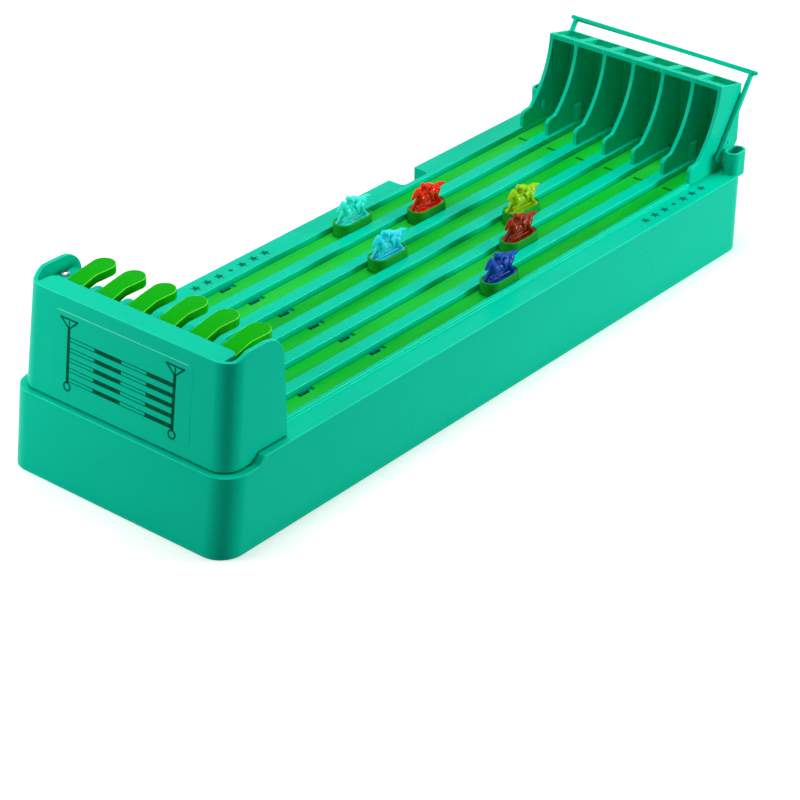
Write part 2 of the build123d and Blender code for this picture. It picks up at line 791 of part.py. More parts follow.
def start_stalls():
    """The moulding with six stalls: end walls, dividers, back, roof and pivot holes."""
    outer = stall_outer_offset
    stalls = across(stall_canopy(), -outer, outer)
    for side in (-1, 1):
        x0 = min(side * stall_inner_offset, side * outer)
        stalls += across(stall_outline(deck_height), x0, x0 + stall_wall)
    for x in rib_centres:
        stalls += across(stall_outline(rib_height), x - stall_wall / 2, x + stall_wall / 2)
    for x in lane_centres:
        stalls -= roof_recess(x)
    bore = bail_pin_diameter / 2 + bail_running_clearance
    for side in (-1, 1):
        inner = side * (stall_inner_offset - 1)
        past = side * (outer + 1)
        stalls -= crosswise(bore, min(inner, past), max(inner, past), bail_pivot_place, bail_pivot_height)
        x = side * stall_boss_offset
        stalls += post(stall_boss_diameter / 2, x, stall_boss_place, rib_height,
                       deck_height + stall_boss_rise)
        stalls -= post(screw_diameter / 2 + screw_fit, x, stall_boss_place, 0,
                       stall_screw_seat + screw_length + screw_tip_room)
        stalls += bail_stop(side)
    window_near = half_length - stall_window_margin
    window_bottom = deck_height + stall_window_rise
    return stalls - box(-outer - 1, -stall_inner_offset + 1, window_near, window_near + stall_window_length,
                        window_bottom, window_bottom + stall_window_height)


def bail_stop(side):
    """The small peg on an end wall that the raised bail leans on."""
    lean = math.radians(bail_lean)
    away = bail_bar_width / 2 + bail_stop_diameter / 2 + bail_stop_clearance
    y = bail_pivot_place + bail_stop_along * math.sin(lean) + away * math.cos(lean)
    z = bail_pivot_height + bail_stop_along * math.cos(lean) - away * math.sin(lean)
    root = side * (stall_outer_offset - stall_wall / 2)
    reach = side * (bail_offset + bail_arm_thickness)
    return crosswise(bail_stop_diameter / 2, min(root, reach), max(root, reach), y, z)


def start_bail():
    """The bail leaning back on its pins: two arms, a crossbar and two pins."""
    outer = bail_offset + bail_arm_thickness
    end = outer + bail_overhang
    half = bail_bar_width / 2
    half_thick = bail_bar_thickness / 2
    bar = box(-end, end, -half_thick, half_thick, bail_reach - half, bail_reach + half)
    bail = fillet(bar.edges().filter_by(Axis.Y), bail_bar_corner)
    for side in (-1, 1):
        x0 = min(side * bail_offset, side * outer)
        bail += box(x0, x0 + bail_arm_thickness, -half, half, 0, bail_reach)
        bail += crosswise(bail_eye_diameter / 2, x0, x0 + bail_arm_thickness, 0, 0)
        pin_end = side * (stall_outer_offset - bail_pin_reach)
        bail += crosswise(bail_pin_diameter / 2, min(pin_end, side * outer), max(pin_end, side * outer), 0, 0)
    return Pos(0, bail_pivot_place, bail_pivot_height) * Rot(-bail_lean, 0, 0) * bail


def cup_well(gap, bottom, top):
    """The eight sided well in a cup, or with a gap the plate that fits it."""
    inset = cup_wall + gap
    long = cup_length / 2 - inset
    wide = cup_width / 2 - inset
    corner = [(wide - cup_corner, long), (wide, long - cup_corner)]
    right = [(x, -y) for x, y in corner[:1]] + [(x, -y) for x, y in corner[1:]] + list(reversed(corner))
    points = right + [(-x, y) for x, y in reversed(right)]
    return Pos(0, 0, bottom) * extrude(make_face(Polyline(*points, close=True)), amount=top - bottom)


def horse_cup():
    """One horse's base at X = 0, Y = 0: a stadium cup, open at the top."""
    bottom = strip_top + cup_lift
    top = bottom + cup_height
    cup = stadium(cup_length, cup_width, 0, 0, bottom, top)
    return cup - cup_well(0, top - cup_pocket, top + 1)


def horse_profile():
    """A galloping horse and its crouched rider from the side, facing -Y, feet at height 0."""
    neck = [(-11.0, 0.0), (-8.2, 2.8), (-7.8, 5.2), (-7.6, 7.8), (-9.6, 8.0), (-12.6, 7.4), (-13.0, 9.0)]
    head = [(-13.0, 9.0), (-10.0, 11.9), (-7.6, 13.8), (-5.4, 11.4), (-5.6, 14.0), (-3.6, 15.0), (-2.0, 13.4)]
    rider = [(-2.0, 13.4), (1.4, 13.0), (4.4, 11.2), (4.2, 9.8), (8.6, 10.0), (10.0, 9.4)]
    tail = [(10.0, 9.4), (13.0, 9.4), (17.0, 8.0), (13.6, 6.9), (10.6, 7.6)]
    hind = [(10.6, 7.6), (9.8, 5.0), (12.2, 0.0), (9.4, 0.0), (8.2, 1.6), (6.4, 3.8), (2.0, 2.7)]
    front = [(2.0, 2.7), (-4.2, 3.2), (-6.4, 1.4), (-8.6, 0.0), (-11.0, 0.0)]
    points = neck + head[1:] + rider[1:] + tail[1:] + hind[1:] + front[1:-1]
    return scale(make_face(Polyline(*points, close=True)), horse_scale)


def race_horse():
    """One horse at X = 0, Y = 0: figure, foot plate and the bar between the hooves."""
    bottom = strip_top + cup_lift + cup_height - cup_pocket
    top = bottom + plate_thickness
    plate = cup_well(plate_clearance, bottom, top)
    bar = box(-bar_width / 2, bar_width / 2, -bar_length / 2, bar_length / 2, bottom, top + bar_height)
    outline = Pos(0, 0, (bottom + top) / 2) * (Plane.YZ * horse_profile())
    return plate + bar + across(outline, -horse_thickness / 2, horse_thickness / 2)


def save_screws():
    """Write the three groups of identical screws."""
    cover_screws = []
    for y in post_places:
        for side in (-1, 1):
            cover_screws.append(screw(side * (half_width - post_inset), y, head_sink, screw_length, True))
    save(Compound(children=cover_screws), "cover_screws")
    cradle_screws = []
    stall_screws = []
    for side in (-1, 1):
        cradle_screws.append(screw(side * cradle_screw_offset, cradle_screw_place, ledge_height,
                                   screw_length, False))
        stall_screws.append(screw(side * stall_boss_offset, stall_boss_place, stall_screw_seat,
                                  screw_length, True))
    save(Compound(children=cradle_screws), "cradle_screws")
    save(Compound(children=stall_screws), "stall_screws")


def main():
    os.makedirs("parts", exist_ok=True)
    save(base_shell(), "base_shell")
    save(bottom_cover(), "bottom_cover")
    save(lever_housing(), "lever_housing")
    save(lever_cradle(), "lever_cradle")
    save(axle_rod(), "axle_rod")
    save(start_stalls(), "start_stalls")
    save(start_bail(), "start_bail")
    save_screws()
    lever = finger_lever()
    strip = runner_strip()
    spring = return_spring()
    cup = horse_cup()
    horse = race_horse()
    for lane in range(lane_count):
        x = lane_centres[lane]
        number = str(lane + 1)
        save(Pos(x, 0, 0) * lever, "finger_lever_" + number)
        save(Pos(x, 0, 0) * strip, "runner_strip_" + number)
        save(Pos(x, 0, 0) * spring, "return_spring_" + number)
        save(Pos(x, horse_places[lane], 0) * cup, "horse_cup_" + number)
        save(Pos(x, horse_places[lane], 0) * horse, "race_horse_" + number)


main()
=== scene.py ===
import json
import math

import bmesh
import bpy
from mathutils import Matrix, Vector


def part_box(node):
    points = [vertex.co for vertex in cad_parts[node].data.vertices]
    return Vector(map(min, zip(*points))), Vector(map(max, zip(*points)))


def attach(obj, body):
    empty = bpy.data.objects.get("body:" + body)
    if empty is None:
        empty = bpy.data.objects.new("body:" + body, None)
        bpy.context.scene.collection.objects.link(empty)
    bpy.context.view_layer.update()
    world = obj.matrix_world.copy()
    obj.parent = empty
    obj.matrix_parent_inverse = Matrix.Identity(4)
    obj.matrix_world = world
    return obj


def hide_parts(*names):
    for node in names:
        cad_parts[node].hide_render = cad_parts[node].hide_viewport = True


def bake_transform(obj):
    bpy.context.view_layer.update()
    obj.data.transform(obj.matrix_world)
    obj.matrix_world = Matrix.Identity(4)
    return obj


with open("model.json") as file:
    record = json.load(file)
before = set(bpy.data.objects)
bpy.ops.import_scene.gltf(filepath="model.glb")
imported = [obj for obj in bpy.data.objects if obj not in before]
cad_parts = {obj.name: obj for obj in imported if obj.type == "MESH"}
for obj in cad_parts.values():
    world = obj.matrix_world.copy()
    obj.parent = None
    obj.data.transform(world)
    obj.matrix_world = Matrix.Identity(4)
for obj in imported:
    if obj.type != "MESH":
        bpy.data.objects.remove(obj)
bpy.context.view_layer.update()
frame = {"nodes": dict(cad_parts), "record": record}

MM = 0.001
LANES = 6
LANE_PITCH = 20 * MM
SLOT_OF = {part["node"]: part["material_slot"] for part in frame["record"]["subparts"]}

# Camera: its target and distance in metres, its angles in degrees
CAMERA_TARGET = (0.0367, -0.0457, 0.0)
CAMERA_AZIMUTH = 39.072
CAMERA_ELEVATION = 30.193
CAMERA_ROLL = 0.739
CAMERA_DISTANCE = 1.3824
CAMERA_FOCAL_PIXELS = 2710.2
PICTURE_SIZE = 800
SENSOR = 36.0

# Colours, as red, green and blue from 0 to 255
TEAL = (0, 208, 170)
TEAL_DEEP = (0, 187, 151)
# A paler teal for rounded edges: a painted highlight
PAINTED_HIGHLIGHT_TEAL = (8, 230, 187)
# A pale strip along the front panel's top edge: a painted highlight
PANEL_HIGHLIGHT_PALE = (110, 246, 214)
# Dark green of the banner's inlaid lines and blocks
BANNER_DARK_GREEN = (0, 92, 62)
# Dark green in the sunk stars: painted shade
STAR_SHADE_GREEN = (0, 118, 88)
# Near black green in the groove under the housing and on the stop pegs and their slots: painted shade
GAP_PAINTED_SHADE = (0, 60, 42)
LEVER_GREEN = (0, 178, 0)
# A paler green for the levers' rounded edges: a painted highlight
PAINTED_HIGHLIGHT_GREEN = (104, 236, 62)
STRIP_GREEN = (4, 202, 50)
STRIP_PALE = (40, 212, 74)
CUP_GREEN = (22, 160, 44)
HORSE_COLOURS = {
    "horse_turquoise": (44, 250, 234),
    "horse_red": (248, 42, 0),
    "horse_sky_blue": (34, 236, 255),
    "horse_lime": (166, 220, 0),
    "horse_maroon": (160, 44, 0),
    "horse_navy": (0, 74, 186),
}
STEEL = (176, 178, 182)
ZINC = (206, 206, 204)

# Clear plastic: the two horses that let most light in, the share that goes in, and how far it goes
CLEAREST = ("horse_turquoise", "horse_sky_blue")
CLEAREST_GLOW = 0.4
CLEAR_GLOW = 0.06
CLEAR_DEPTH = 1.2 * MM

# Grain of the finishes, in waves a metre; the ripples' share of the marks, and how deep they all are
FLOW_WAVES = 26
PATCH_WAVES = 30
DUST_WAVES = 30
CLOUD_WAVES = 90
RIPPLE_WAVES = 140
DRAWING_WAVES = 900
MATT_SPECK_WAVES = 2600
SPARK_WAVES = 5200
RIPPLE_SHARE = 0.6
MOULD_GRAIN = 0.04 * MM
FINE_GRAIN = 0.02 * MM
# Most of a noise's values lie between these
NOISE_RANGE = (0.3, 0.7)

# Softened edges: their widths, and the angle from which an edge is sharp. The shapes beside an edge are
# to be EDGE_ROOM times its width, apart from edges that run on in its line, by a cosine over RUN_ON.
MOULD_EDGE = 0.38 * MM
THIN_EDGE = 0.3 * MM
BAIL_EDGE = 0.5 * MM
LEVER_EDGE = 0.36 * MM
STRIP_EDGE = 0.15 * MM
SOFTEN_ANGLE = math.radians(32)
ROUND_END_ANGLE = math.radians(50)
EDGE_ROOM = 2.2
RUN_ON = 0.8

# Meshes: what counts as one point or one flat face, and where the shading breaks
SAME_PLACE = 0.0001 * MM
CAD_SAME_PLACE = 0.002 * MM
CAD_FLAT_ANGLE = math.radians(0.6)
SHADING_ANGLE = math.radians(38)
ROUND_STEPS = 24
ROUND_END_STEPS = 48
# Lays what stands upright down along the lanes
LYING = Matrix.Rotation(math.pi / 2, 4, "X")


# ---------------------------------------------------------------- finishes

def shade(colour):
    """A colour written from 0 to 255, as the shader's own linear values."""
    def linear(value):
        value = value / 255
        return value / 12.92 if value <= 0.04045 else ((value + 0.055) / 1.055) ** 2.4
    return (*[linear(value) for value in colour], 1.0)


def darker(colour, share):
    return tuple(value * share for value in colour)


def grey(value):
    return (value, value, value, 1.0)


class Wire:
    """A node's output, which can be used in sums."""

    def __init__(self, nodes, socket):
        self.nodes = nodes
        self.socket = socket

    def maths(self, operation, other):
        return self.nodes.node("ShaderNodeMath", {"operation": operation}, {0: self, 1: other})

    def __add__(self, other):
        return self.maths("ADD", other)

    def __mul__(self, other):
        return self.maths("MULTIPLY", other)

    __radd__ = __add__
    __rmul__ = __mul__


class Nodes:
    """A tree of shader nodes, of a material or of the world."""

    def __init__(self, tree):
        self.tree = tree

    def node(self, kind, settings=None, inputs=None, output=0):
        """Any node: its settings first, then the values or wires of its sockets."""
        made = self.tree.nodes.new(kind)
        for name, value in (settings or {}).items():
            setattr(made, name, value)
        for name, value in (inputs or {}).items():
            self.plug(made.inputs[name], value)
        return Wire(self, made.outputs[output])

    def plug(self, socket, value):
        if isinstance(value, Wire):
            self.tree.links.new(value.socket, socket)
        else:
            socket.default_value = value

    def seen_directly(self):
        """One where a camera, glossy or transmission ray looks."""
        seen = self.node("ShaderNodeLightPath", output="Is Camera Ray")
        for name in ("Is Glossy Ray", "Is Transmission Ray"):
            ray = self.node("ShaderNodeLightPath", output=name)
            seen = seen.maths("MAXIMUM", ray)
        return seen


class Finish(Nodes):
    """One material, with the nodes that give its colour, gloss and grain."""

    def __init__(self, name):
        self.material = bpy.data.materials.new(name)
        self.material.use_nodes = True
        super().__init__(self.material.node_tree)
        self.shader = self.tree.nodes["Principled BSDF"]

    def set(self, **values):
        """Sockets of the main shader, with underscores for spaces."""
        for name, value in values.items():
            self.plug(self.shader.inputs[name.replace("_", " ")], value)

    def noise(self, waves, detail=2.0, roughness=0.5, stretch=(1, 1, 1)):
        """Noise from 0 to 1, in waves a metre."""
        place = self.node("ShaderNodeTexCoord", output="Object")
        stretched = self.node("ShaderNodeMapping", {"vector_type": "POINT"},
                              {"Vector": place, "Scale": stretch})
        return self.node("ShaderNodeTexNoise", {"noise_dimensions": "3D"},
                         {"Vector": stretched, "Scale": waves, "Detail": detail, "Roughness": roughness})

    def span(self, value, low, high, out_low=0.0, out_high=1.0):
        """A value moved from one range to another and held inside it."""
        return self.node("ShaderNodeMapRange", {"clamp": True},
                         {"Value": value, "From Min": low, "From Max": high, "To Min": out_low,
                          "To Max": out_high})

    def blend(self, share, first, second):
        """A colour between two colours; a mix of colours takes them at its sockets 6 and 7."""
        return self.node("ShaderNodeMix", {"data_type": "RGBA", "blend_type": "MIX"},
                         {"Factor": share, 6: first, 7: second}, output=2)

    def bump(self, height, distance, strength):
        return self.node("ShaderNodeBump", None,
                         {"Height": height, "Distance": distance, "Strength": strength})


def moulded_plastic(name, colour, gloss=0.3, level=0.03, grain=0.5, flow=0.02, pale=None):
    """Moulded plastic: faint flow marks in the colour, uneven gloss and a fine spark grain.

    gloss is its roughness, level its shine, grain the share of the spark marks, flow how much the
    flow marks darken the colour, and pale the colour of long soft patches.
    """
    finish = Finish(name)
    drift = finish.span(finish.noise(FLOW_WAVES, 3.0, 0.55, (1, 0.35, 1)), 0.32, 0.68)
    tint = finish.blend(drift, shade(darker(colour, 1 - flow)), shade(colour))
    if pale is not None:
        patch = finish.span(finish.noise(PATCH_WAVES, 3.0, 0.55, (1, 0.16, 1)), 0.4, 0.66, 0.1, 0.9)
        tint = finish.blend(patch, tint, shade(pale))
    cloud = finish.noise(CLOUD_WAVES, 4.0, 0.6)
    marks = finish.noise(SPARK_WAVES) * grain + finish.noise(RIPPLE_WAVES) * RIPPLE_SHARE
    finish.set(Base_Color=tint, Roughness=finish.span(cloud, *NOISE_RANGE, gloss - 0.05, gloss + 0.05),
               Normal=finish.bump(marks, MOULD_GRAIN, 0.5), Specular_IOR_Level=level)
    return finish


def clear_tinted_plastic(name, colour, gloss=0.08, glow=CLEAR_GLOW, level=0.15):
    """Slightly clear plastic: light travels a little way into the thin parts."""
    finish = moulded_plastic(name, colour, gloss, level, grain=0.2, flow=0.07)
    finish.set(Subsurface_Weight=glow, Subsurface_Radius=(1.0, 1.0, 1.0), Subsurface_Scale=CLEAR_DEPTH)
    return finish


def drawn_steel(name, colour, gloss=0.28, along=(1, 24, 24)):
    """Steel wire or rod with fine drawing lines along it."""
    finish = Finish(name)
    lines = finish.noise(DRAWING_WAVES, 3.0, 0.6, along)
    finish.set(Base_Color=finish.blend(lines, shade(darker(colour, 0.8)), shade(colour)),
               Roughness=finish.span(lines, *NOISE_RANGE, gloss - 0.08, gloss + 0.1),
               Normal=finish.bump(lines, FINE_GRAIN, 0.4), Metallic=1.0)
    return finish


def matt_dark_and_shade(name, colour):
    """The banner's dark inlays, and painted shade in the sunk stars and narrow gaps: matt, a little
    uneven.
    """
    finish = Finish(name)
    speck = finish.noise(MATT_SPECK_WAVES, 3.0, 0.6)
    tint = finish.blend(finish.span(speck, 0.35, 0.65), shade(darker(colour, 0.86)), shade(colour))
    finish.set(Base_Color=tint, Roughness=finish.span(speck, *NOISE_RANGE, 0.5, 0.62),
               Normal=finish.bump(speck, FINE_GRAIN, 0.4), Specular_IOR_Level=0.02)
    return finish


def make_finishes():
    """The finish of each of the record's slots, and those of the painted highlights on edges, the painted
    shade in gaps and stars, and the banner's dark inlays.
    """
    finishes = {
        "teal_plastic": moulded_plastic("teal_moulding", TEAL),
        "teal_cover": moulded_plastic("teal_underside", TEAL_DEEP, 0.5, 0.04, 0.4),
        "lever_green": moulded_plastic("lever_green", LEVER_GREEN, 0.26, 0.04, 0.2),
        "strip_green": moulded_plastic("strip_green", STRIP_GREEN, 0.3, 0.03, 0.4, 0.14, STRIP_PALE),
        "cup_green": clear_tinted_plastic("cup_green", CUP_GREEN, 0.3, 0.1, 0.06),
        "steel_rod": drawn_steel("axle_steel", STEEL),
        "spring_steel": drawn_steel("spring_wire", STEEL, 0.24, (24, 4, 24)),
        "screw_steel": drawn_steel("screw_zinc", ZINC, 0.22, (2, 2, 30)),
        "banner_dark": matt_dark_and_shade("banner_dark_inlay", BANNER_DARK_GREEN),
        "star_painted_shade": matt_dark_and_shade("star_painted_shade", STAR_SHADE_GREEN),
        "teal_painted_highlight": moulded_plastic("teal_painted_highlight", PAINTED_HIGHLIGHT_TEAL, 0.22, 0.06),
        "lever_painted_highlight": moulded_plastic("lever_painted_highlight", PAINTED_HIGHLIGHT_GREEN, 0.2, 0.1, 0.2),
        "painted_gap_shade": matt_dark_and_shade("painted_gap_shade", GAP_PAINTED_SHADE),
        "panel_highlight": moulded_plastic("panel_highlight_paint", PANEL_HIGHLIGHT_PALE, 0.2, 0.06),
    }
    for slot, colour in HORSE_COLOURS.items():
        glow = CLEAREST_GLOW if slot in CLEAREST else CLEAR_GLOW
        finishes[slot] = clear_tinted_plastic(slot, colour, glow=glow)
    return finishes


# ---------------------------------------------------------------- mesh helpers

def piece(name, bm, body, slot, replaced=(), smooth=True, extra=()):
    """A finished piece at the origin, riding on a body and standing for the replaced nodes.

    extra names the finishes of its material numbers 1 and up.
    """
    mesh = bpy.data.meshes.new(name)
    bmesh.ops.remove_doubles(bm, verts=bm.verts, dist=SAME_PLACE)
    bmesh.ops.recalc_face_normals(bm, faces=bm.faces)
    bm.to_mesh(mesh)
    bm.free()
    if smooth:
        mesh.polygons.foreach_set("use_smooth", [True] * len(mesh.polygons))
        mesh.set_sharp_from_angle(angle=SHADING_ANGLE)
    made = bpy.data.objects.new(name, mesh)
    bpy.context.scene.collection.objects.link(made)
    if smooth and body:
        made.modifiers.new("even_shading", "WEIGHTED_NORMAL").keep_sharp = True
    for finish in (slot, *extra):
        mesh.materials.append(FINISHES[finish].material)
    if body:
        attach(made, body)
    if replaced:
        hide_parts(*replaced)
    return made


def moulding(node, bm, body, slot, extra=()):
    """A moulded piece that stands for one node."""
    piece(f"{node}_moulding", bm, body, slot, (node,), extra=extra)


def softened_node(node, body, slot, width, extra=()):
    """A node's own shape with rounded edges, which take the extra finish, a paler painted highlight, where
    there is one.
    """
    moulding(node, soften(joined_copy(node), width, finish=len(extra)), body, slot, extra)


def joined_copy(node):
    """A CAD node's shape as one closed mesh with flat faces joined."""
    bm = bmesh.new()
    bm.from_mesh(frame["nodes"][node].data)
    bmesh.ops.remove_doubles(bm, verts=bm.verts, dist=CAD_SAME_PLACE)
    bmesh.ops.dissolve_limit(bm, angle_limit=CAD_FLAT_ANGLE, verts=bm.verts, edges=bm.edges,
                             use_dissolve_boundaries=False)
    return bm


def roomy(edge, width):
    """Whether the shapes beside a sharp edge leave room for a rounding of this width."""
    along = (edge.verts[1].co - edge.verts[0].co).normalized()
    runs_on = 0
    for vert in edge.verts:
        for other in vert.link_edges:
            if other is edge:
                continue
            way = (other.other_vert(vert).co - vert.co).normalized()
            if abs(way.dot(along)) > RUN_ON:
                runs_on += 1
            elif other.calc_length() < EDGE_ROOM * width:
                return False
    return edge.calc_length() > EDGE_ROOM * width or runs_on > 1


def each_once(things):
    """The things without repeats, always in the same order."""
    return list(dict.fromkeys(things))


def edges_at(verts):
    return each_once(edge for vert in verts for edge in vert.link_edges)


def bevelled(bm, edges, width, segments):
    """Cuts edges back by a width and gives the new faces."""
    return bmesh.ops.bevel(bm, geom=edges, offset=width, offset_type="OFFSET", affect="EDGES",
                           segments=segments, profile=0.5, material=-1, clamp_overlap=False)["faces"]


def soften(bm, width, angle=SOFTEN_ANGLE, segments=2, finish=0):
    """Rounds the sharp edges that have room for it; finish numbers the material of the roundings, which is
    a paler painted highlight where it is not 0.
    """
    sharp = [edge for edge in bm.edges if len(edge.link_faces) == 2
             and edge.calc_face_angle(0) > angle and roomy(edge, width)]
    for face in bevelled(bm, sharp, width, segments):
        face.material_index = finish
    return bm


def block(bm, size, place, bevel=0.0, segments=2):
    """A block by its full size and its middle, with its edges rounded where bevel is given."""
    verts = bmesh.ops.create_cube(bm, size=1.0)["verts"]
    bmesh.ops.transform(bm, matrix=Matrix.Translation(place) @ Matrix.Diagonal((*size, 1)), verts=verts)
    if bevel:
        bevelled(bm, edges_at(verts), bevel, segments)


def stadium(bm, length, width, bottom):
    """The outline of a block with round ends, long along Y, as one face."""
    verts = bmesh.ops.create_circle(bm, cap_ends=True, segments=ROUND_END_STEPS, radius=width / 2)["verts"]
    for vert in verts:
        if abs(vert.co.y) > SAME_PLACE:
            vert.co.y += math.copysign((length - width) / 2, vert.co.y)
        vert.co.z = bottom
    return verts[0].link_faces[0]


def raised(bm, face, height):
    """Pushes a face straight up or down and gives the new top face."""
    top = bmesh.ops.extrude_discrete_faces(bm, faces=[face])["faces"][0]
    bmesh.ops.translate(bm, vec=(0, 0, height), verts=top.verts)
    return top


def turned(bm, outline, steps, turns=1, climb=0.0):
    """Turns an outline round the upright axis, closed after one turn or climbing as a coil."""
    bmesh.ops.spin(bm, geom=outline, cent=(0, 0, 0), axis=(0, 0, 1), dvec=(0, 0, climb / steps),
                   angle=math.tau * turns, steps=steps, use_merge=not climb, use_normal_flip=False,
                   use_duplicate=False)


def join(bm, part):
    """Adds a shape to another; the added one is used up."""
    mesh = bpy.data.meshes.new("joined")
    part.to_mesh(mesh)
    part.free()
    bm.from_mesh(mesh)
    bpy.data.meshes.remove(mesh)


def bare_object(name, bm):
    """An object at the origin without a finish or a body."""
    mesh = bpy.data.meshes.new(name)
    bm.to_mesh(mesh)
    bm.free()
    made = bpy.data.objects.new(name, mesh)
    bpy.context.scene.collection.objects.link(made)
    return made


def finished_mesh(made):
    """The mesh of a bare object with its modifiers applied; the object goes with its own mesh."""
    bpy.context.view_layer.update()
    depsgraph = bpy.context.evaluated_depsgraph_get()
    mesh = bpy.data.meshes.new_from_object(made.evaluated_get(depsgraph))
    bpy.data.meshes.remove(made.data)
    return mesh


# ---------------------------------------------------------------- stage

# The floor's greys where it is looked at, its glow there, and its grey for the light it gives back
FLOOR_SIZE = 6.0
FLOOR_SEEN = (0.86, 0.88)
FLOOR_GLOW = 0.36
FLOOR_BOUNCE = 0.4
WORLD_STRENGTH = 0.12
# Each lamp: name, where it stands, what it faces, its size and its power in watts
LAMPS = (
    ("lamp_above", (-0.1, 0.15, 1.5), (0, 0, 0), 0.8, 16),
    ("lamp_left", (-0.4, -0.56, 0.26), (0, -0.12, 0.05), 0.3, 2.25),
    ("lamp_right", (1.0, 0.8, 0.3), (0, 0.05, 0.03), 0.45, 11.5),
)


def add_camera():
    """The camera, by its azimuth, elevation, roll and distance from its target."""
    azimuth = math.radians(CAMERA_AZIMUTH)
    elevation = math.radians(CAMERA_ELEVATION)
    roll = math.radians(CAMERA_ROLL)
    level = math.cos(elevation)
    back = Vector((math.sin(azimuth) * level, -math.cos(azimuth) * level, math.sin(elevation)))
    right = Vector((math.cos(azimuth), math.sin(azimuth), 0))
    up = back.cross(right)
    across = right * math.cos(roll) + up * math.sin(roll)
    above = up * math.cos(roll) - right * math.sin(roll)
    turn = Matrix((across, above, back)).transposed().to_4x4()
    data = bpy.data.cameras.new("camera")
    data.sensor_width = SENSOR
    data.lens = CAMERA_FOCAL_PIXELS / PICTURE_SIZE * SENSOR
    camera = bpy.data.objects.new("camera", data)
    camera.matrix_world = Matrix.Translation(Vector(CAMERA_TARGET) + back * CAMERA_DISTANCE) @ turn
    bpy.context.scene.collection.objects.link(camera)
    bpy.context.scene.camera = camera


def add_floor():
    """The floor: near white where it is looked at, and greyer where it lights the object."""
    bm = bmesh.new()
    bmesh.ops.create_grid(bm, x_segments=2, y_segments=2, size=FLOOR_SIZE)
    floor = bare_object("floor", bm)
    finish = Finish("floor_white")
    dust = finish.noise(DUST_WAVES)
    seen = finish.seen_directly()
    paper = finish.blend(finish.span(dust, *NOISE_RANGE), *[grey(value) for value in FLOOR_SEEN])
    finish.set(Emission_Color=finish.blend(seen, grey(0), grey(FLOOR_GLOW)), Emission_Strength=1.0,
               Base_Color=finish.blend(seen, grey(FLOOR_BOUNCE), paper),
               Roughness=finish.span(dust, *NOISE_RANGE, 0.85, 0.95), Specular_IOR_Level=0.1)
    floor.data.materials.append(finish.material)


def add_world():
    """A dim world that shows white where it is looked at."""
    world = bpy.data.worlds.new("studio")
    world.use_nodes = True
    nodes = Nodes(world.node_tree)
    light = world.node_tree.nodes["Background"]
    nodes.plug(light.inputs["Color"], grey(1))
    nodes.plug(light.inputs["Strength"], WORLD_STRENGTH)
    backdrop = nodes.node("ShaderNodeBackground", None, {"Color": grey(1)})
    mix = nodes.node("ShaderNodeMixShader", None,
                     {0: nodes.seen_directly(), 1: Wire(nodes, light.outputs[0]), 2: backdrop})
    nodes.plug(world.node_tree.nodes["World Output"].inputs["Surface"], mix)
    bpy.context.scene.world = world


def add_lamps():
    for name, place, target, size, power in LAMPS:
        data = bpy.data.lights.new(name, "AREA")
        data.size = size
        data.energy = power
        lamp = bpy.data.objects.new(name, data)
        lamp.location = place
        facing = Vector(target) - Vector(place)
        lamp.rotation_euler = facing.to_track_quat("-Z", "Y").to_euler()
        bpy.context.scene.collection.objects.link(lamp)


# ---------------------------------------------------------------- teal mouldings

# Material numbers of the roundings, painted paler as a highlight, and of the gaps, painted dark as shade,
# in the teal mouldings
ROUNDING_HIGHLIGHT = 1
GAP_SHADE = 2

HOUSING_MIDDLE = Vector((0, -193 * MM))
FOOT_TOP = 47 * MM
FOOT_GROOVE = 0.95 * MM
# A face whose normal is tilted less than this out of the level is a side
TILT = 0.5


def foot_edge(edge):
    """An outer edge round the foot of the housing, where it meets the base."""
    middle = (edge.verts[0].co + edge.verts[1].co) / 2
    under = [face for face in edge.link_faces if face.normal.z < -TILT]
    outer = [face for face in edge.link_faces
             if abs(face.normal.z) < TILT and face.normal.xy.dot(middle.xy - HOUSING_MIDDLE) > 0]
    return bool(under and outer) and middle.z < FOOT_TOP and roomy(edge, FOOT_GROOVE)


def foot_groove(bm):
    """Cuts a square groove round the housing's foot: a bevel whose middle line is pushed inwards, with its
    faces painted dark as shade.
    """
    chosen = [edge for edge in bm.edges if len(edge.link_faces) == 2 and foot_edge(edge)]
    corners = [vert.co.copy() for vert in each_once(vert for edge in chosen for vert in edge.verts)]
    cut = bevelled(bm, chosen, FOOT_GROOVE, 2)
    # At each corner of the foot, three points of the bevel: one on each side and the middle one
    near = [[] for _ in corners]
    for vert in each_once(vert for face in cut for vert in face.verts):
        far = [(vert.co - corner).length for corner in corners]
        near[far.index(min(far))].append(vert)
    for corner, found in zip(corners, near):
        if len(found) == 3:
            middle, first, second = sorted(found, key=lambda vert: (vert.co - corner).length)
            middle.co = first.co + second.co - corner
    # The groove's faces are painted near black as shade
    for face in cut:
        face.material_index = GAP_SHADE


# The floors of the pockets in the stalls' roof: the front edge of their slope, along and up, the rim
# that stays as it is, the middle, how much deeper they get before and behind it, and how near a point
# is to be to lie on them
ROOF_FRONT = (204 * MM, 96.2 * MM)
ROOF_SLOPE = -4.5 / 20.5
ROOF_RIM = 2 * MM
ROOF_MIDDLE = 214 * MM
ROOF_DEEPER = (0.7 * MM, 3.0 * MM)
ROOF_NEAR = 0.1 * MM


def deepen_roof(bm):
    """Lowers the floors of the six roof pockets, most at the back."""
    for vert in bm.verts:
        floor = ROOF_FRONT[1] + ROOF_SLOPE * (vert.co.y - ROOF_FRONT[0])
        if vert.co.y > ROOF_FRONT[0] + ROOF_RIM and abs(vert.co.z - floor) < ROOF_NEAR:
            vert.co.z -= ROOF_DEEPER[vert.co.y > ROOF_MIDDLE]


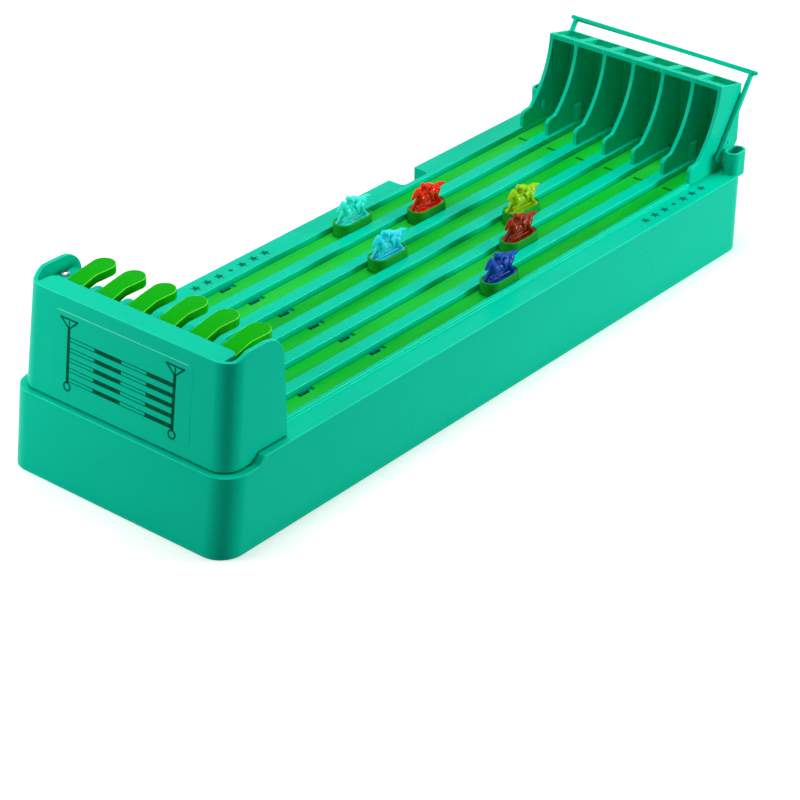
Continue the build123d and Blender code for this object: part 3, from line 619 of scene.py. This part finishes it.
# Where the stop pegs and the slots behind them are, which are painted dark as shade: along the lane,
# beside its middle line, on from the peg's place and up. Only faces under STOP_FACE belong to them.
STOP_PLACES = (-132 * MM, -78.6 * MM)
STOP_SIDE = (-6.4 * MM, -4.1 * MM)
STOP_LENGTH = (-1.4 * MM, 7.4 * MM)
STOP_HEIGHT = (41.2 * MM, 44.2 * MM)
STOP_FACE = 20 * MM ** 2


def between(value, limits):
    return limits[0] < value < limits[1]


def paint_shade_on_stops(bm):
    """Paints the stop pegs and the slots behind them near black, as the shade of a gap."""
    for face in bm.faces:
        middle = face.calc_center_median()
        if face.calc_area() > STOP_FACE or not between(middle.z, STOP_HEIGHT):
            continue
        beside = (middle.x / LANE_PITCH) % 1 * LANE_PITCH - LANE_PITCH / 2
        at_stop = any(between(middle.y - place, STOP_LENGTH) for place in STOP_PLACES)
        if at_stop and between(beside, STOP_SIDE):
            face.material_index = GAP_SHADE


BAR_LINE = (232.13 * MM, 96.95 * MM)
BAR_REACH = 2.5 * MM
BAR_THINNER = 0.72


def thin_bar(bm):
    """Draws the bail's bar in round its middle line."""
    for vert in bm.verts:
        away = Vector((vert.co.y - BAR_LINE[0], vert.co.z - BAR_LINE[1]))
        if away.length < BAR_REACH:
            vert.co.y, vert.co.z = Vector(BAR_LINE) + away * BAR_THINNER


def add_mouldings():
    """The base, the lever housing and cradle, the starting stalls, the bail and the cover."""
    # The roundings of the base, housing and stalls take a paler teal: a painted highlight
    base = soften(joined_copy("base_shell"), MOULD_EDGE, finish=ROUNDING_HIGHLIGHT)
    # The stop pegs and their slots are painted near black as shade
    paint_shade_on_stops(base)
    moulding("base_shell", base, "root", "teal_plastic", ("teal_painted_highlight", "painted_gap_shade"))
    housing = joined_copy("lever_housing")
    foot_groove(housing)
    soften(housing, MOULD_EDGE, finish=ROUNDING_HIGHLIGHT)
    moulding("lever_housing", housing, "root", "teal_plastic", ("teal_painted_highlight", "painted_gap_shade"))
    softened_node("lever_cradle", "root", "teal_plastic", THIN_EDGE)
    stalls = joined_copy("start_stalls")
    deepen_roof(stalls)
    soften(stalls, THIN_EDGE, finish=ROUNDING_HIGHLIGHT)
    moulding("start_stalls", stalls, "root", "teal_plastic", ("teal_painted_highlight",))
    bail = joined_copy("start_bail")
    thin_bar(bail)
    moulding("start_bail", soften(bail, BAIL_EDGE), "bail", "teal_plastic")
    softened_node("bottom_cover", "root", "teal_cover", THIN_EDGE)


# ---------------------------------------------------------------- levers and strips

# The round mark on each strip: its place along, its radius below and above, and its height
GATE_MARK_PLACE = 26 * MM
GATE_MARK_RADIUS = 0.95 * MM
GATE_MARK_TOP = 0.7 * GATE_MARK_RADIUS
GATE_MARK_HEIGHT = 0.24 * MM


def add_lever(lane):
    # The levers' rounded edges take a paler green: a painted highlight
    softened_node(f"finger_lever_{lane}", f"lever_{lane}", "lever_green", LEVER_EDGE,
                  ("lever_painted_highlight",))


def add_strip(lane):
    """A strip, with the round mark where its plastic flowed in."""
    node = f"runner_strip_{lane}"
    bm = soften(joined_copy(node), STRIP_EDGE)
    low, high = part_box(node)
    place = Matrix.Translation(((low.x + high.x) / 2, GATE_MARK_PLACE, high.z))
    bmesh.ops.create_cone(bm, cap_ends=True, segments=ROUND_STEPS, radius1=GATE_MARK_RADIUS,
                          radius2=GATE_MARK_TOP, depth=GATE_MARK_HEIGHT, matrix=place)
    moulding(node, bm, f"strip_{lane}", "strip_green")


# ---------------------------------------------------------------- front panel

# The panel leans by PANEL_LEAN for each length up, so that a height is PANEL_RISE times longer on it
PANEL_LEAN = 0.12
PANEL_RISE = math.hypot(1, PANEL_LEAN)
PANEL_FLOOR_AT_TABLE = -213.9 * MM
PANEL_MIDDLE = 69.35 * MM
PANEL_SIZE = (87.9 * MM, 40.6 * MM)
PANEL_CORNER = 3 * MM
PANEL_CORNER_STEPS = 10
PANEL_THICKNESS = 0.24 * MM
# The panel's thin upper lip: its size, place and rounding; its pale colour is a painted highlight
LIP_SIZE = (84.6 * MM, 0.42 * MM, 0.34 * MM)
LIP_MIDDLE = -1.2 * MM
LIP_EDGE = 0.08 * MM
INLAY_THICKNESS = 0.16 * MM
INLAY_SUNK = 0.06 * MM

# The banner's places across and up the object, its widths and its heights, in millimetres
POLES = (-35.4, 33.0)
POLE_BOTTOM = 54.0
POLE_TOP = 81.5
POLE_WIDTH = 1.7
FLAG_HALF_WIDTH = 5.5
FLAG_TOP = 86.3
FLAG_LINE = 0.8
STEM_TOP = 85.3
STEM_LINE = 0.64
RING_HEIGHT = 51.9
RING_RADIUS = 2.5
RING_LINE = 0.85
RING_STEPS = 32
BANNER_COLUMNS = (-34.6, -18.4, -0.8, 15.5, 32.6)
BANNER_ROWS = (77.5, 72.2, 67.1, 62.0, 56.8)
BLOCK_HEIGHT = 2.2
LINE_HEIGHT = 0.34


def panel_place(out=0.0):
    """From flat, with height 0 at the table, to the leaning panel's floor or some way out of it."""
    up = (0, PANEL_LEAN / PANEL_RISE, 1 / PANEL_RISE)
    outwards = (0, -1 / PANEL_RISE, PANEL_LEAN / PANEL_RISE)
    turn = Matrix(((1, 0, 0), up, outwards)).transposed().to_4x4()
    floor = Matrix.Translation((0, PANEL_FLOOR_AT_TABLE, 0))
    return floor @ turn @ Matrix.Translation((0, 0, out))


def add_panel():
    """The front panel: a thin plate with round corners and an upper lip painted pale as a highlight."""
    width = PANEL_SIZE[0]
    height = PANEL_SIZE[1] * PANEL_RISE
    place = panel_place() @ Matrix.Translation((0, PANEL_MIDDLE * PANEL_RISE, 0))
    plate = bmesh.new()
    verts = bmesh.ops.create_circle(plate, cap_ends=True, segments=4 * PANEL_CORNER_STEPS,
                                    radius=PANEL_CORNER)["verts"]
    for vert in verts:
        vert.co.x += math.copysign(width / 2 - PANEL_CORNER, vert.co.x)
        vert.co.y += math.copysign(height / 2 - PANEL_CORNER, vert.co.y)
    raised(plate, verts[0].link_faces[0], PANEL_THICKNESS)
    bmesh.ops.transform(plate, matrix=place, verts=plate.verts)
    piece("front_panel", plate, "root", "teal_plastic")
    # The upper lip's pale colour is a painted highlight
    lip = bmesh.new()
    block(lip, LIP_SIZE, (LIP_MIDDLE, (height - LIP_SIZE[1]) / 2, LIP_SIZE[2] / 2), LIP_EDGE)
    bmesh.ops.transform(lip, matrix=place, verts=lip.verts)
    piece("panel_highlight_lip", lip, "root", "panel_highlight")


def inlay(bm, x0, x1, z0, z1):
    """A flat inlay between two places across and two places up the panel."""
    block(bm, ((x1 - x0) * MM, (z1 - z0) * PANEL_RISE * MM, INLAY_THICKNESS),
          ((x0 + x1) / 2 * MM, (z0 + z1) / 2 * PANEL_RISE * MM, INLAY_THICKNESS / 2 - INLAY_SUNK))


def stroke(bm, start, end, width):
    """A straight inlaid line between two points of the panel."""
    first = Vector((start[0], start[1] * PANEL_RISE, 0))
    along = Vector((end[0], end[1] * PANEL_RISE, 0)) - first
    verts = bmesh.ops.create_cube(bm, size=1.0)["verts"]
    size = Matrix.Diagonal(((along.length + width) * MM, width * MM, INLAY_THICKNESS, 1))
    turn = Matrix.Rotation(math.atan2(along.y, along.x), 4, "Z")
    middle = (first + along / 2) * MM + Vector((0, 0, INLAY_THICKNESS / 2 - INLAY_SUNK))
    bmesh.ops.transform(bm, matrix=Matrix.Translation(middle) @ turn @ size, verts=verts)


def ring_inlay(bm, x, z):
    """A flat inlaid ring with its middle at a point of the panel."""
    inner = (RING_RADIUS - RING_LINE) * MM
    outer = RING_RADIUS * MM
    top = INLAY_THICKNESS - INLAY_SUNK
    corners = [(inner, 0, -INLAY_SUNK), (outer, 0, -INLAY_SUNK), (outer, 0, top), (inner, 0, top)]
    ring = bmesh.new()
    verts = [ring.verts.new(corner) for corner in corners]
    edges = [ring.edges.new((verts[number - 1], vert)) for number, vert in enumerate(verts)]
    turned(ring, verts + edges, RING_STEPS)
    bmesh.ops.translate(ring, vec=(x * MM, z * PANEL_RISE * MM, 0), verts=ring.verts)
    join(bm, ring)


def flag_pole(bm, x):
    """A pole with a pennon at its top and a ring at its foot."""
    inlay(bm, x - POLE_WIDTH / 2, x + POLE_WIDTH / 2, POLE_BOTTOM, POLE_TOP)
    tip = (x, POLE_TOP)
    left = (x - FLAG_HALF_WIDTH, FLAG_TOP)
    right = (x + FLAG_HALF_WIDTH, FLAG_TOP)
    for start, end in ((tip, left), (left, right), (right, tip)):
        stroke(bm, start, end, FLAG_LINE)
    stroke(bm, tip, (x, STEM_TOP), STEM_LINE)
    ring_inlay(bm, x, RING_HEIGHT)


def add_banner():
    """Two flag poles with a banner of lines and blocks between them, sunk into the front panel."""
    bm = bmesh.new()
    for x in POLES:
        flag_pole(bm, x)
    for column, (x0, x1) in enumerate(zip(BANNER_COLUMNS, BANNER_COLUMNS[1:])):
        for top in BANNER_ROWS:
            bottom = top - BLOCK_HEIGHT
            if column % 2:
                inlay(bm, x0, x1, bottom, top)
            else:
                inlay(bm, x0, x1, top - LINE_HEIGHT, top)
                inlay(bm, x0, x1, bottom, bottom + LINE_HEIGHT)
    bmesh.ops.transform(bm, matrix=panel_place(PANEL_THICKNESS), verts=bm.verts)
    piece("finish_banner_inlay", bm, "root", "banner_dark", smooth=False)


# ---------------------------------------------------------------- stars

STAR_POINTS = 5
STAR_RADIUS = 3.2 * MM
STAR_WAIST = 0.42
STARS_EACH_WAY = 3
STAR_DOT_RADIUS = 1.2 * MM
STAR_DOT_STEPS = 16
STAR_STEP = 8.8 * MM
STAR_FLOOR = 45.9 * MM
STAR_INLAY = 0.14 * MM
# Where each row's dot is, across and along the deck
STAR_ROWS = ((-65 * MM, -61 * MM), (65 * MM, 154 * MM))


def star(bm):
    """A star as one face, with every second corner drawn in."""
    verts = bmesh.ops.create_circle(bm, cap_ends=True, segments=2 * STAR_POINTS,
                                    radius=STAR_RADIUS)["verts"]
    for vert in verts[1::2]:
        vert.co *= STAR_WAIST
    return verts


def dot(bm):
    """A dot as one face."""
    return bmesh.ops.create_circle(bm, cap_ends=True, segments=STAR_DOT_STEPS,
                                   radius=STAR_DOT_RADIUS)["verts"]


def add_stars():
    """Three stars, a dot and three stars on each margin of the deck, as thin dark inlays that paint the
    shade of their sunk shapes.
    """
    bm = bmesh.new()
    for x, middle in STAR_ROWS:
        for step in range(-STARS_EACH_WAY, STARS_EACH_WAY + 1):
            verts = star(bm) if step else dot(bm)
            bmesh.ops.translate(bm, vec=(x, middle + step * STAR_STEP, STAR_FLOOR), verts=verts)
            raised(bm, verts[0].link_faces[0], STAR_INLAY)
    piece("star_painted_shade", bm, "root", "star_painted_shade", smooth=False)


# ---------------------------------------------------------------- screws

HEAD_RADIUS = 2.6 * MM
HEAD_HEIGHT = 1.6 * MM
# The head's outline from its top to its seat, in shares of its radius and height
HEAD_OUTLINE = ((0, 1), (0.45, 0.97), (0.76, 0.84), (0.93, 0.6), (1, 0.3), (1, 0.05), (0.96, 0))
THREAD_RADIUS = 1.3 * MM
THREAD_ROOT = 1.0 * MM
THREAD_PITCH = 0.9 * MM
THREAD_START = 0.4 * THREAD_PITCH
SCREW_LENGTH = 10 * MM
SCREW_TIP = 1.5 * THREAD_PITCH
CROSS_LENGTH = 2.9 * MM
CROSS_WIDTH = 0.72 * MM
CROSS_DEPTH = 1.0 * MM
COVER_SCREW_ROWS = (-168 * MM, 20 * MM, 186 * MM)
# How far each screw happens to be turned, in degrees: by its side, and for each millimetre along
SIDE_TURN = 25
ROW_TURN = 40


def screw_outline():
    """Half of a pan head screw, as radius and height, from the top of its head to its tip."""
    outline = [(HEAD_RADIUS * across, HEAD_HEIGHT * up) for across, up in HEAD_OUTLINE]
    outline.append((THREAD_ROOT, 0))
    depth = -THREAD_START
    while depth > SCREW_TIP - SCREW_LENGTH:
        outline += [(THREAD_RADIUS, depth), (THREAD_ROOT, depth - 0.5 * THREAD_PITCH)]
        depth -= THREAD_PITCH
    return outline + [(0, -SCREW_LENGTH)]


def screw_mesh():
    """A screw with a cross recess, head up, its seat at height 0."""
    bm = bmesh.new()
    verts = [bm.verts.new((radius, 0, height)) for radius, height in screw_outline()]
    edges = [bm.edges.new(pair) for pair in zip(verts, verts[1:])]
    turned(bm, verts + edges, ROUND_STEPS)
    bmesh.ops.remove_doubles(bm, verts=bm.verts, dist=SAME_PLACE)
    bmesh.ops.recalc_face_normals(bm, faces=bm.faces)
    screw = bare_object("screw", bm)
    cross = bmesh.new()
    for size in ((CROSS_LENGTH, CROSS_WIDTH), (CROSS_WIDTH, CROSS_LENGTH)):
        block(cross, (*size, 2 * CROSS_DEPTH), (0, 0, HEAD_HEIGHT))
    cutter = bare_object("cutter", cross)
    cut = screw.modifiers.new("cross", "BOOLEAN")
    cut.operation = "DIFFERENCE"
    cut.solver = "EXACT"
    cut.use_self = True
    cut.object = cutter
    mesh = finished_mesh(screw)
    bpy.data.meshes.remove(cutter.data)
    return mesh


def add_screws(node, upwards, one, rows=None):
    """A node's screws in pairs across it, one pair in each row or else at its middle."""
    low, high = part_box(node)
    seat = low.z + HEAD_HEIGHT if upwards else high.z - HEAD_HEIGHT
    across = (high.x - low.x) / 2 - HEAD_RADIUS
    flip = Matrix.Rotation(math.pi if upwards else 0, 4, "X")
    bm = bmesh.new()
    for y in rows or ((low.y + high.y) / 2,):
        for side in (-1, 1):
            turn = Matrix.Rotation(math.radians(SIDE_TURN * side + ROW_TURN * y / MM), 4, "Z")
            copy = one.copy()
            copy.transform(Matrix.Translation((across * side, y, seat)) @ flip @ turn)
            bm.from_mesh(copy)
            bpy.data.meshes.remove(copy)
    piece(f"{node}_cross_head", bm, "root", "screw_steel", (node,))


# ---------------------------------------------------------------- springs

SPRING_RADIUS = 2.05 * MM
WIRE_RADIUS = 0.35 * MM
WIRE_SIDES = 8
SPRING_LOOP = 1.7 * MM
SPRING_TURNS = 20
STEPS_A_TURN = 14


def wire_outline(bm, radius):
    """The wire's round section, standing at a radius from the upright axis."""
    place = Matrix.Translation((radius, 0, 0)) @ LYING
    verts = bmesh.ops.create_circle(bm, cap_ends=False, segments=WIRE_SIDES, radius=WIRE_RADIUS,
                                    matrix=place)["verts"]
    return verts + edges_at(verts)


def add_spring(lane):
    """A wound spring with a loop at each end, built at one length; the real one stretches as its strip is
    pulled.
    """
    low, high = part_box(f"return_spring_{lane}")
    middle = (low + high) / 2
    coil = high.y - low.y - 4 * SPRING_LOOP
    bm = bmesh.new()
    outline = wire_outline(bm, SPRING_RADIUS)
    bmesh.ops.translate(bm, vec=(0, 0, -coil / 2), verts=bm.verts)
    turned(bm, outline, SPRING_TURNS * STEPS_A_TURN, SPRING_TURNS, coil)
    bmesh.ops.holes_fill(bm, edges=[edge for edge in bm.edges if edge.is_boundary], sides=0)
    for side in (-1, 1):
        loop = bmesh.new()
        turned(loop, wire_outline(loop, SPRING_LOOP - WIRE_RADIUS), ROUND_STEPS)
        place = Matrix.Translation((0, 0, side * (coil / 2 + SPRING_LOOP))) @ LYING
        bmesh.ops.transform(loop, matrix=place, verts=loop.verts)
        join(bm, loop)
    bmesh.ops.transform(bm, matrix=Matrix.Translation(middle) @ LYING, verts=bm.verts)
    made = piece(f"wound_spring_{lane}", bm, None, "spring_steel", (f"return_spring_{lane}",))
    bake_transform(made)


# ---------------------------------------------------------------- horses and cups

CUP_WALL = 1.3 * MM
CUP_POCKET = 2.6 * MM
CUP_EDGE = 0.45 * MM
PLATE_RISE = 1.9 * MM
PLATE_GAP = 0.06 * MM
PLATE_EDGE = 0.2 * MM
HOOF_BAR = (3.2 * MM, 14.2 * MM, 1.4 * MM)
HOOF_BAR_EDGE = 0.45 * MM
HOOF_BAR_LIFT = 0.2 * MM
# The figure is drawn at the size that suits this cup, and its hooves sink a little into the plate
FIGURE_CUP_LENGTH = 27.5 * MM
FIGURE_SUNK = 0.3 * MM
LUMP_STEPS = 16
LUMP_RINGS = 10
VOXEL = 0.26 * MM
SMOOTHINGS = 3


def ball(bm, place, size):
    """An egg shaped lump; size is its three half widths, in millimetres."""
    turn = Matrix.Translation(Vector(place) * MM) @ Matrix.Diagonal((*[half * MM for half in size], 1))
    bmesh.ops.create_uvsphere(bm, u_segments=LUMP_STEPS, v_segments=LUMP_RINGS, radius=1.0,
                              matrix=turn)


def limb(bm, points, radii, flat=1.0):
    """A tapering limb through points, in millimetres; flat squeezes it sideways."""
    places = [Vector(point) for point in points]
    squeeze = Matrix.Diagonal((flat, 1, 1, 1))
    for place, radius in zip(places, radii):
        ball(bm, place, (radius * flat, radius, radius))
    for start, end, first, last in zip(places, places[1:], radii, radii[1:]):
        along = end - start
        turn = along.to_track_quat("Z", "X").to_matrix().to_4x4()
        middle = Matrix.Translation((start + end) / 2 * MM)
        made = bmesh.ops.create_cone(bm, cap_ends=True, cap_tris=False, segments=LUMP_STEPS,
                                     radius1=first * MM, radius2=last * MM, depth=along.length * MM)
        bmesh.ops.transform(bm, matrix=middle @ squeeze @ turn, verts=made["verts"])


def horse_lumps(bm):
    """A galloping horse, nose towards -Y, hooves at height 0."""
    # Body, from the breast to the rump
    ball(bm, (0, -5.2, 6.4), (2.8, 3.4, 3.4))
    ball(bm, (0, -1.0, 6.1), (2.8, 4.6, 3.3))
    ball(bm, (0, 3.4, 6.6), (2.6, 4.4, 3.0))
    ball(bm, (0, 7.9, 7.9), (3.0, 3.3, 3.4))
    # Neck, head and ears
    limb(bm, [(0, -5.2, 7.6), (0, -7.0, 9.9), (0, -8.0, 11.8)], [2.7, 2.2, 1.7], 0.85)
    limb(bm, [(0, -8.2, 11.9), (0, -10.2, 10.7), (0, -12.2, 8.9)], [1.85, 1.5, 1.0], 0.9)
    ball(bm, (0, -9.0, 10.9), (1.1, 1.5, 1.5))
    ball(bm, (0, -12.3, 8.7), (0.75, 0.85, 0.8))
    for side in (-1, 1):
        limb(bm, [(0.62 * side, -7.9, 12.6), (0.8 * side, -7.2, 14.0)], [0.55, 0.26])
    # Mane
    limb(bm, [(0, -7.1, 13.0), (0, -5.6, 11.2), (0, -4.2, 9.4)], [0.5, 0.62, 0.5], 0.6)
    # Front legs reach forwards, hind legs push back; the legs on one side are drawn in
    for side, tuck in ((-1, 0.0), (1, 1.5)):
        limb(bm, [(1.1 * side, -5.6 + tuck, 5.4), (1.5 * side, -8.3 + tuck, 3.3),
                  (1.6 * side, -10.9 + tuck, 0.5)], [1.95, 1.35, 0.95])
        ball(bm, (1.6 * side, -11.0 + tuck, 0.3), (0.85, 1.2, 0.7))
        limb(bm, [(1.2 * side, 7.4 - tuck, 6.4), (1.6 * side, 8.1 - tuck, 3.9),
                  (1.7 * side, 9.9 - tuck, 2.3), (1.7 * side, 11.2 - tuck, 0.5)],
             [2.5, 1.6, 1.1, 0.95])
        ball(bm, (1.7 * side, 11.5 - tuck, 0.3), (0.85, 1.1, 0.7))
    # Tail
    limb(bm, [(0, 8.4, 9.2), (0, 11.0, 9.5), (0, 13.4, 9.1), (0, 15.4, 8.9), (0, 17.1, 8.8)],
         [2.1, 1.8, 1.35, 0.8, 0.3], 0.7)
    # Saddle cloth and strap
    ball(bm, (0, 0.6, 7.4), (2.62, 2.5, 2.2))
    ball(bm, (0, 4.7, 6.8), (2.42, 0.55, 3.02))


def rider_lumps(bm):
    """A rider crouched over the horse's neck."""
    # Back, head, cap peak and seat
    limb(bm, [(0, 4.0, 10.6), (0, 1.2, 12.1), (0, -1.6, 12.5)], [1.95, 1.8, 1.65], 1.2)
    ball(bm, (0, -3.6, 14.1), (1.5, 1.6, 1.5))
    ball(bm, (0, -4.7, 14.0), (1.15, 1.35, 0.5))
    ball(bm, (0, 4.2, 10.2), (2.2, 2.1, 1.8))
    # Arm, leg and boot on each side
    for side in (-1, 1):
        limb(bm, [(1.5 * side, -1.3, 12.2), (2.05 * side, -2.4, 10.0), (1.1 * side, -5.2, 9.2)],
             [1.15, 0.9, 0.8])
        limb(bm, [(1.6 * side, 3.6, 9.9), (2.5 * side, 0.3, 8.4), (2.55 * side, 1.9, 5.6),
                  (2.55 * side, 1.4, 4.4)], [1.5, 1.25, 0.9, 0.85])
        ball(bm, (2.5 * side, 1.0, 4.2), (0.6, 1.25, 0.55))


def horse_figure():
    """Horse and rider run together into one smooth moulded figure, at the origin."""
    bm = bmesh.new()
    horse_lumps(bm)
    rider_lumps(bm)
    bmesh.ops.recalc_face_normals(bm, faces=bm.faces)
    lumps = bare_object("figure_lumps", bm)
    remesh = lumps.modifiers.new("skin", "REMESH")
    remesh.mode = "VOXEL"
    remesh.voxel_size = VOXEL
    figure = finished_mesh(lumps)
    skin = bmesh.new()
    skin.from_mesh(figure)
    for _ in range(SMOOTHINGS):
        bmesh.ops.smooth_vert(skin, verts=skin.verts, factor=0.5, use_axis_x=True, use_axis_y=True,
                              use_axis_z=True)
    skin.to_mesh(figure)
    skin.free()
    return figure


def add_cup(lane):
    """One cup: a round ended tub with a soft rim."""
    low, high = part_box(f"horse_cup_{lane}")
    bm = bmesh.new()
    outline = stadium(bm, high.y - low.y, high.x - low.x, low.z)
    top = raised(bm, outline, high.z - low.z)
    bmesh.ops.inset_region(bm, faces=[top], thickness=CUP_WALL, use_even_offset=True)
    raised(bm, top, -CUP_POCKET)
    soften(bm, CUP_EDGE, ROUND_END_ANGLE, 3)
    bmesh.ops.translate(bm, vec=((low.x + high.x) / 2, (low.y + high.y) / 2, 0), verts=bm.verts)
    piece(f"cup_{lane}", bm, f"horse_{lane}", "cup_green", (f"horse_cup_{lane}",))


def add_horse(lane, figure):
    """One horse and rider on a plate that fills its cup."""
    low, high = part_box(f"horse_cup_{lane}")
    node = f"race_horse_{lane}"
    inset = CUP_WALL + PLATE_GAP
    plate_bottom = high.z - CUP_POCKET
    plate_top = plate_bottom + PLATE_RISE
    plate = bmesh.new()
    outline = stadium(plate, high.y - low.y - 2 * inset, high.x - low.x - 2 * inset, plate_bottom)
    raised(plate, outline, PLATE_RISE)
    soften(plate, PLATE_EDGE, ROUND_END_ANGLE)
    block(plate, HOOF_BAR, (0, 0, plate_top + HOOF_BAR_LIFT), HOOF_BAR_EDGE, 3)
    bm = bmesh.new()
    join(bm, plate)
    size = Matrix.Scale((high.y - low.y) / FIGURE_CUP_LENGTH, 4)
    standing = figure.copy()
    standing.transform(Matrix.Translation((0, 0, plate_top - FIGURE_SUNK)) @ size)
    bm.from_mesh(standing)
    bpy.data.meshes.remove(standing)
    bmesh.ops.translate(bm, vec=((low.x + high.x) / 2, (low.y + high.y) / 2, 0), verts=bm.verts)
    piece(f"horse_and_rider_{lane}", bm, f"horse_{lane}", SLOT_OF[node], (node,))


# ---------------------------------------------------------------- the model

FINISHES = make_finishes()

add_camera()
add_floor()
add_world()
add_lamps()
add_mouldings()
for number in range(1, LANES + 1):
    add_lever(number)
    add_strip(number)
add_panel()
add_banner()
add_stars()
screw = screw_mesh()
add_screws("cover_screws", True, screw, COVER_SCREW_ROWS)
add_screws("cradle_screws", False, screw)
add_screws("stall_screws", True, screw)
bpy.data.meshes.remove(screw)
for number in range(1, LANES + 1):
    add_spring(number)
horse = horse_figure()
for number in range(1, LANES + 1):
    add_cup(number)
    add_horse(number, horse)
bpy.data.meshes.remove(horse)

# A node that no piece stands for shows its own shape, in its finish
for name, slot_name in SLOT_OF.items():
    node = frame["nodes"][name]
    if not node.hide_render:
        node.data.materials.clear()
        node.data.materials.append(FINISHES[slot_name].material)

bpy.context.scene.view_settings.view_transform = "Standard"
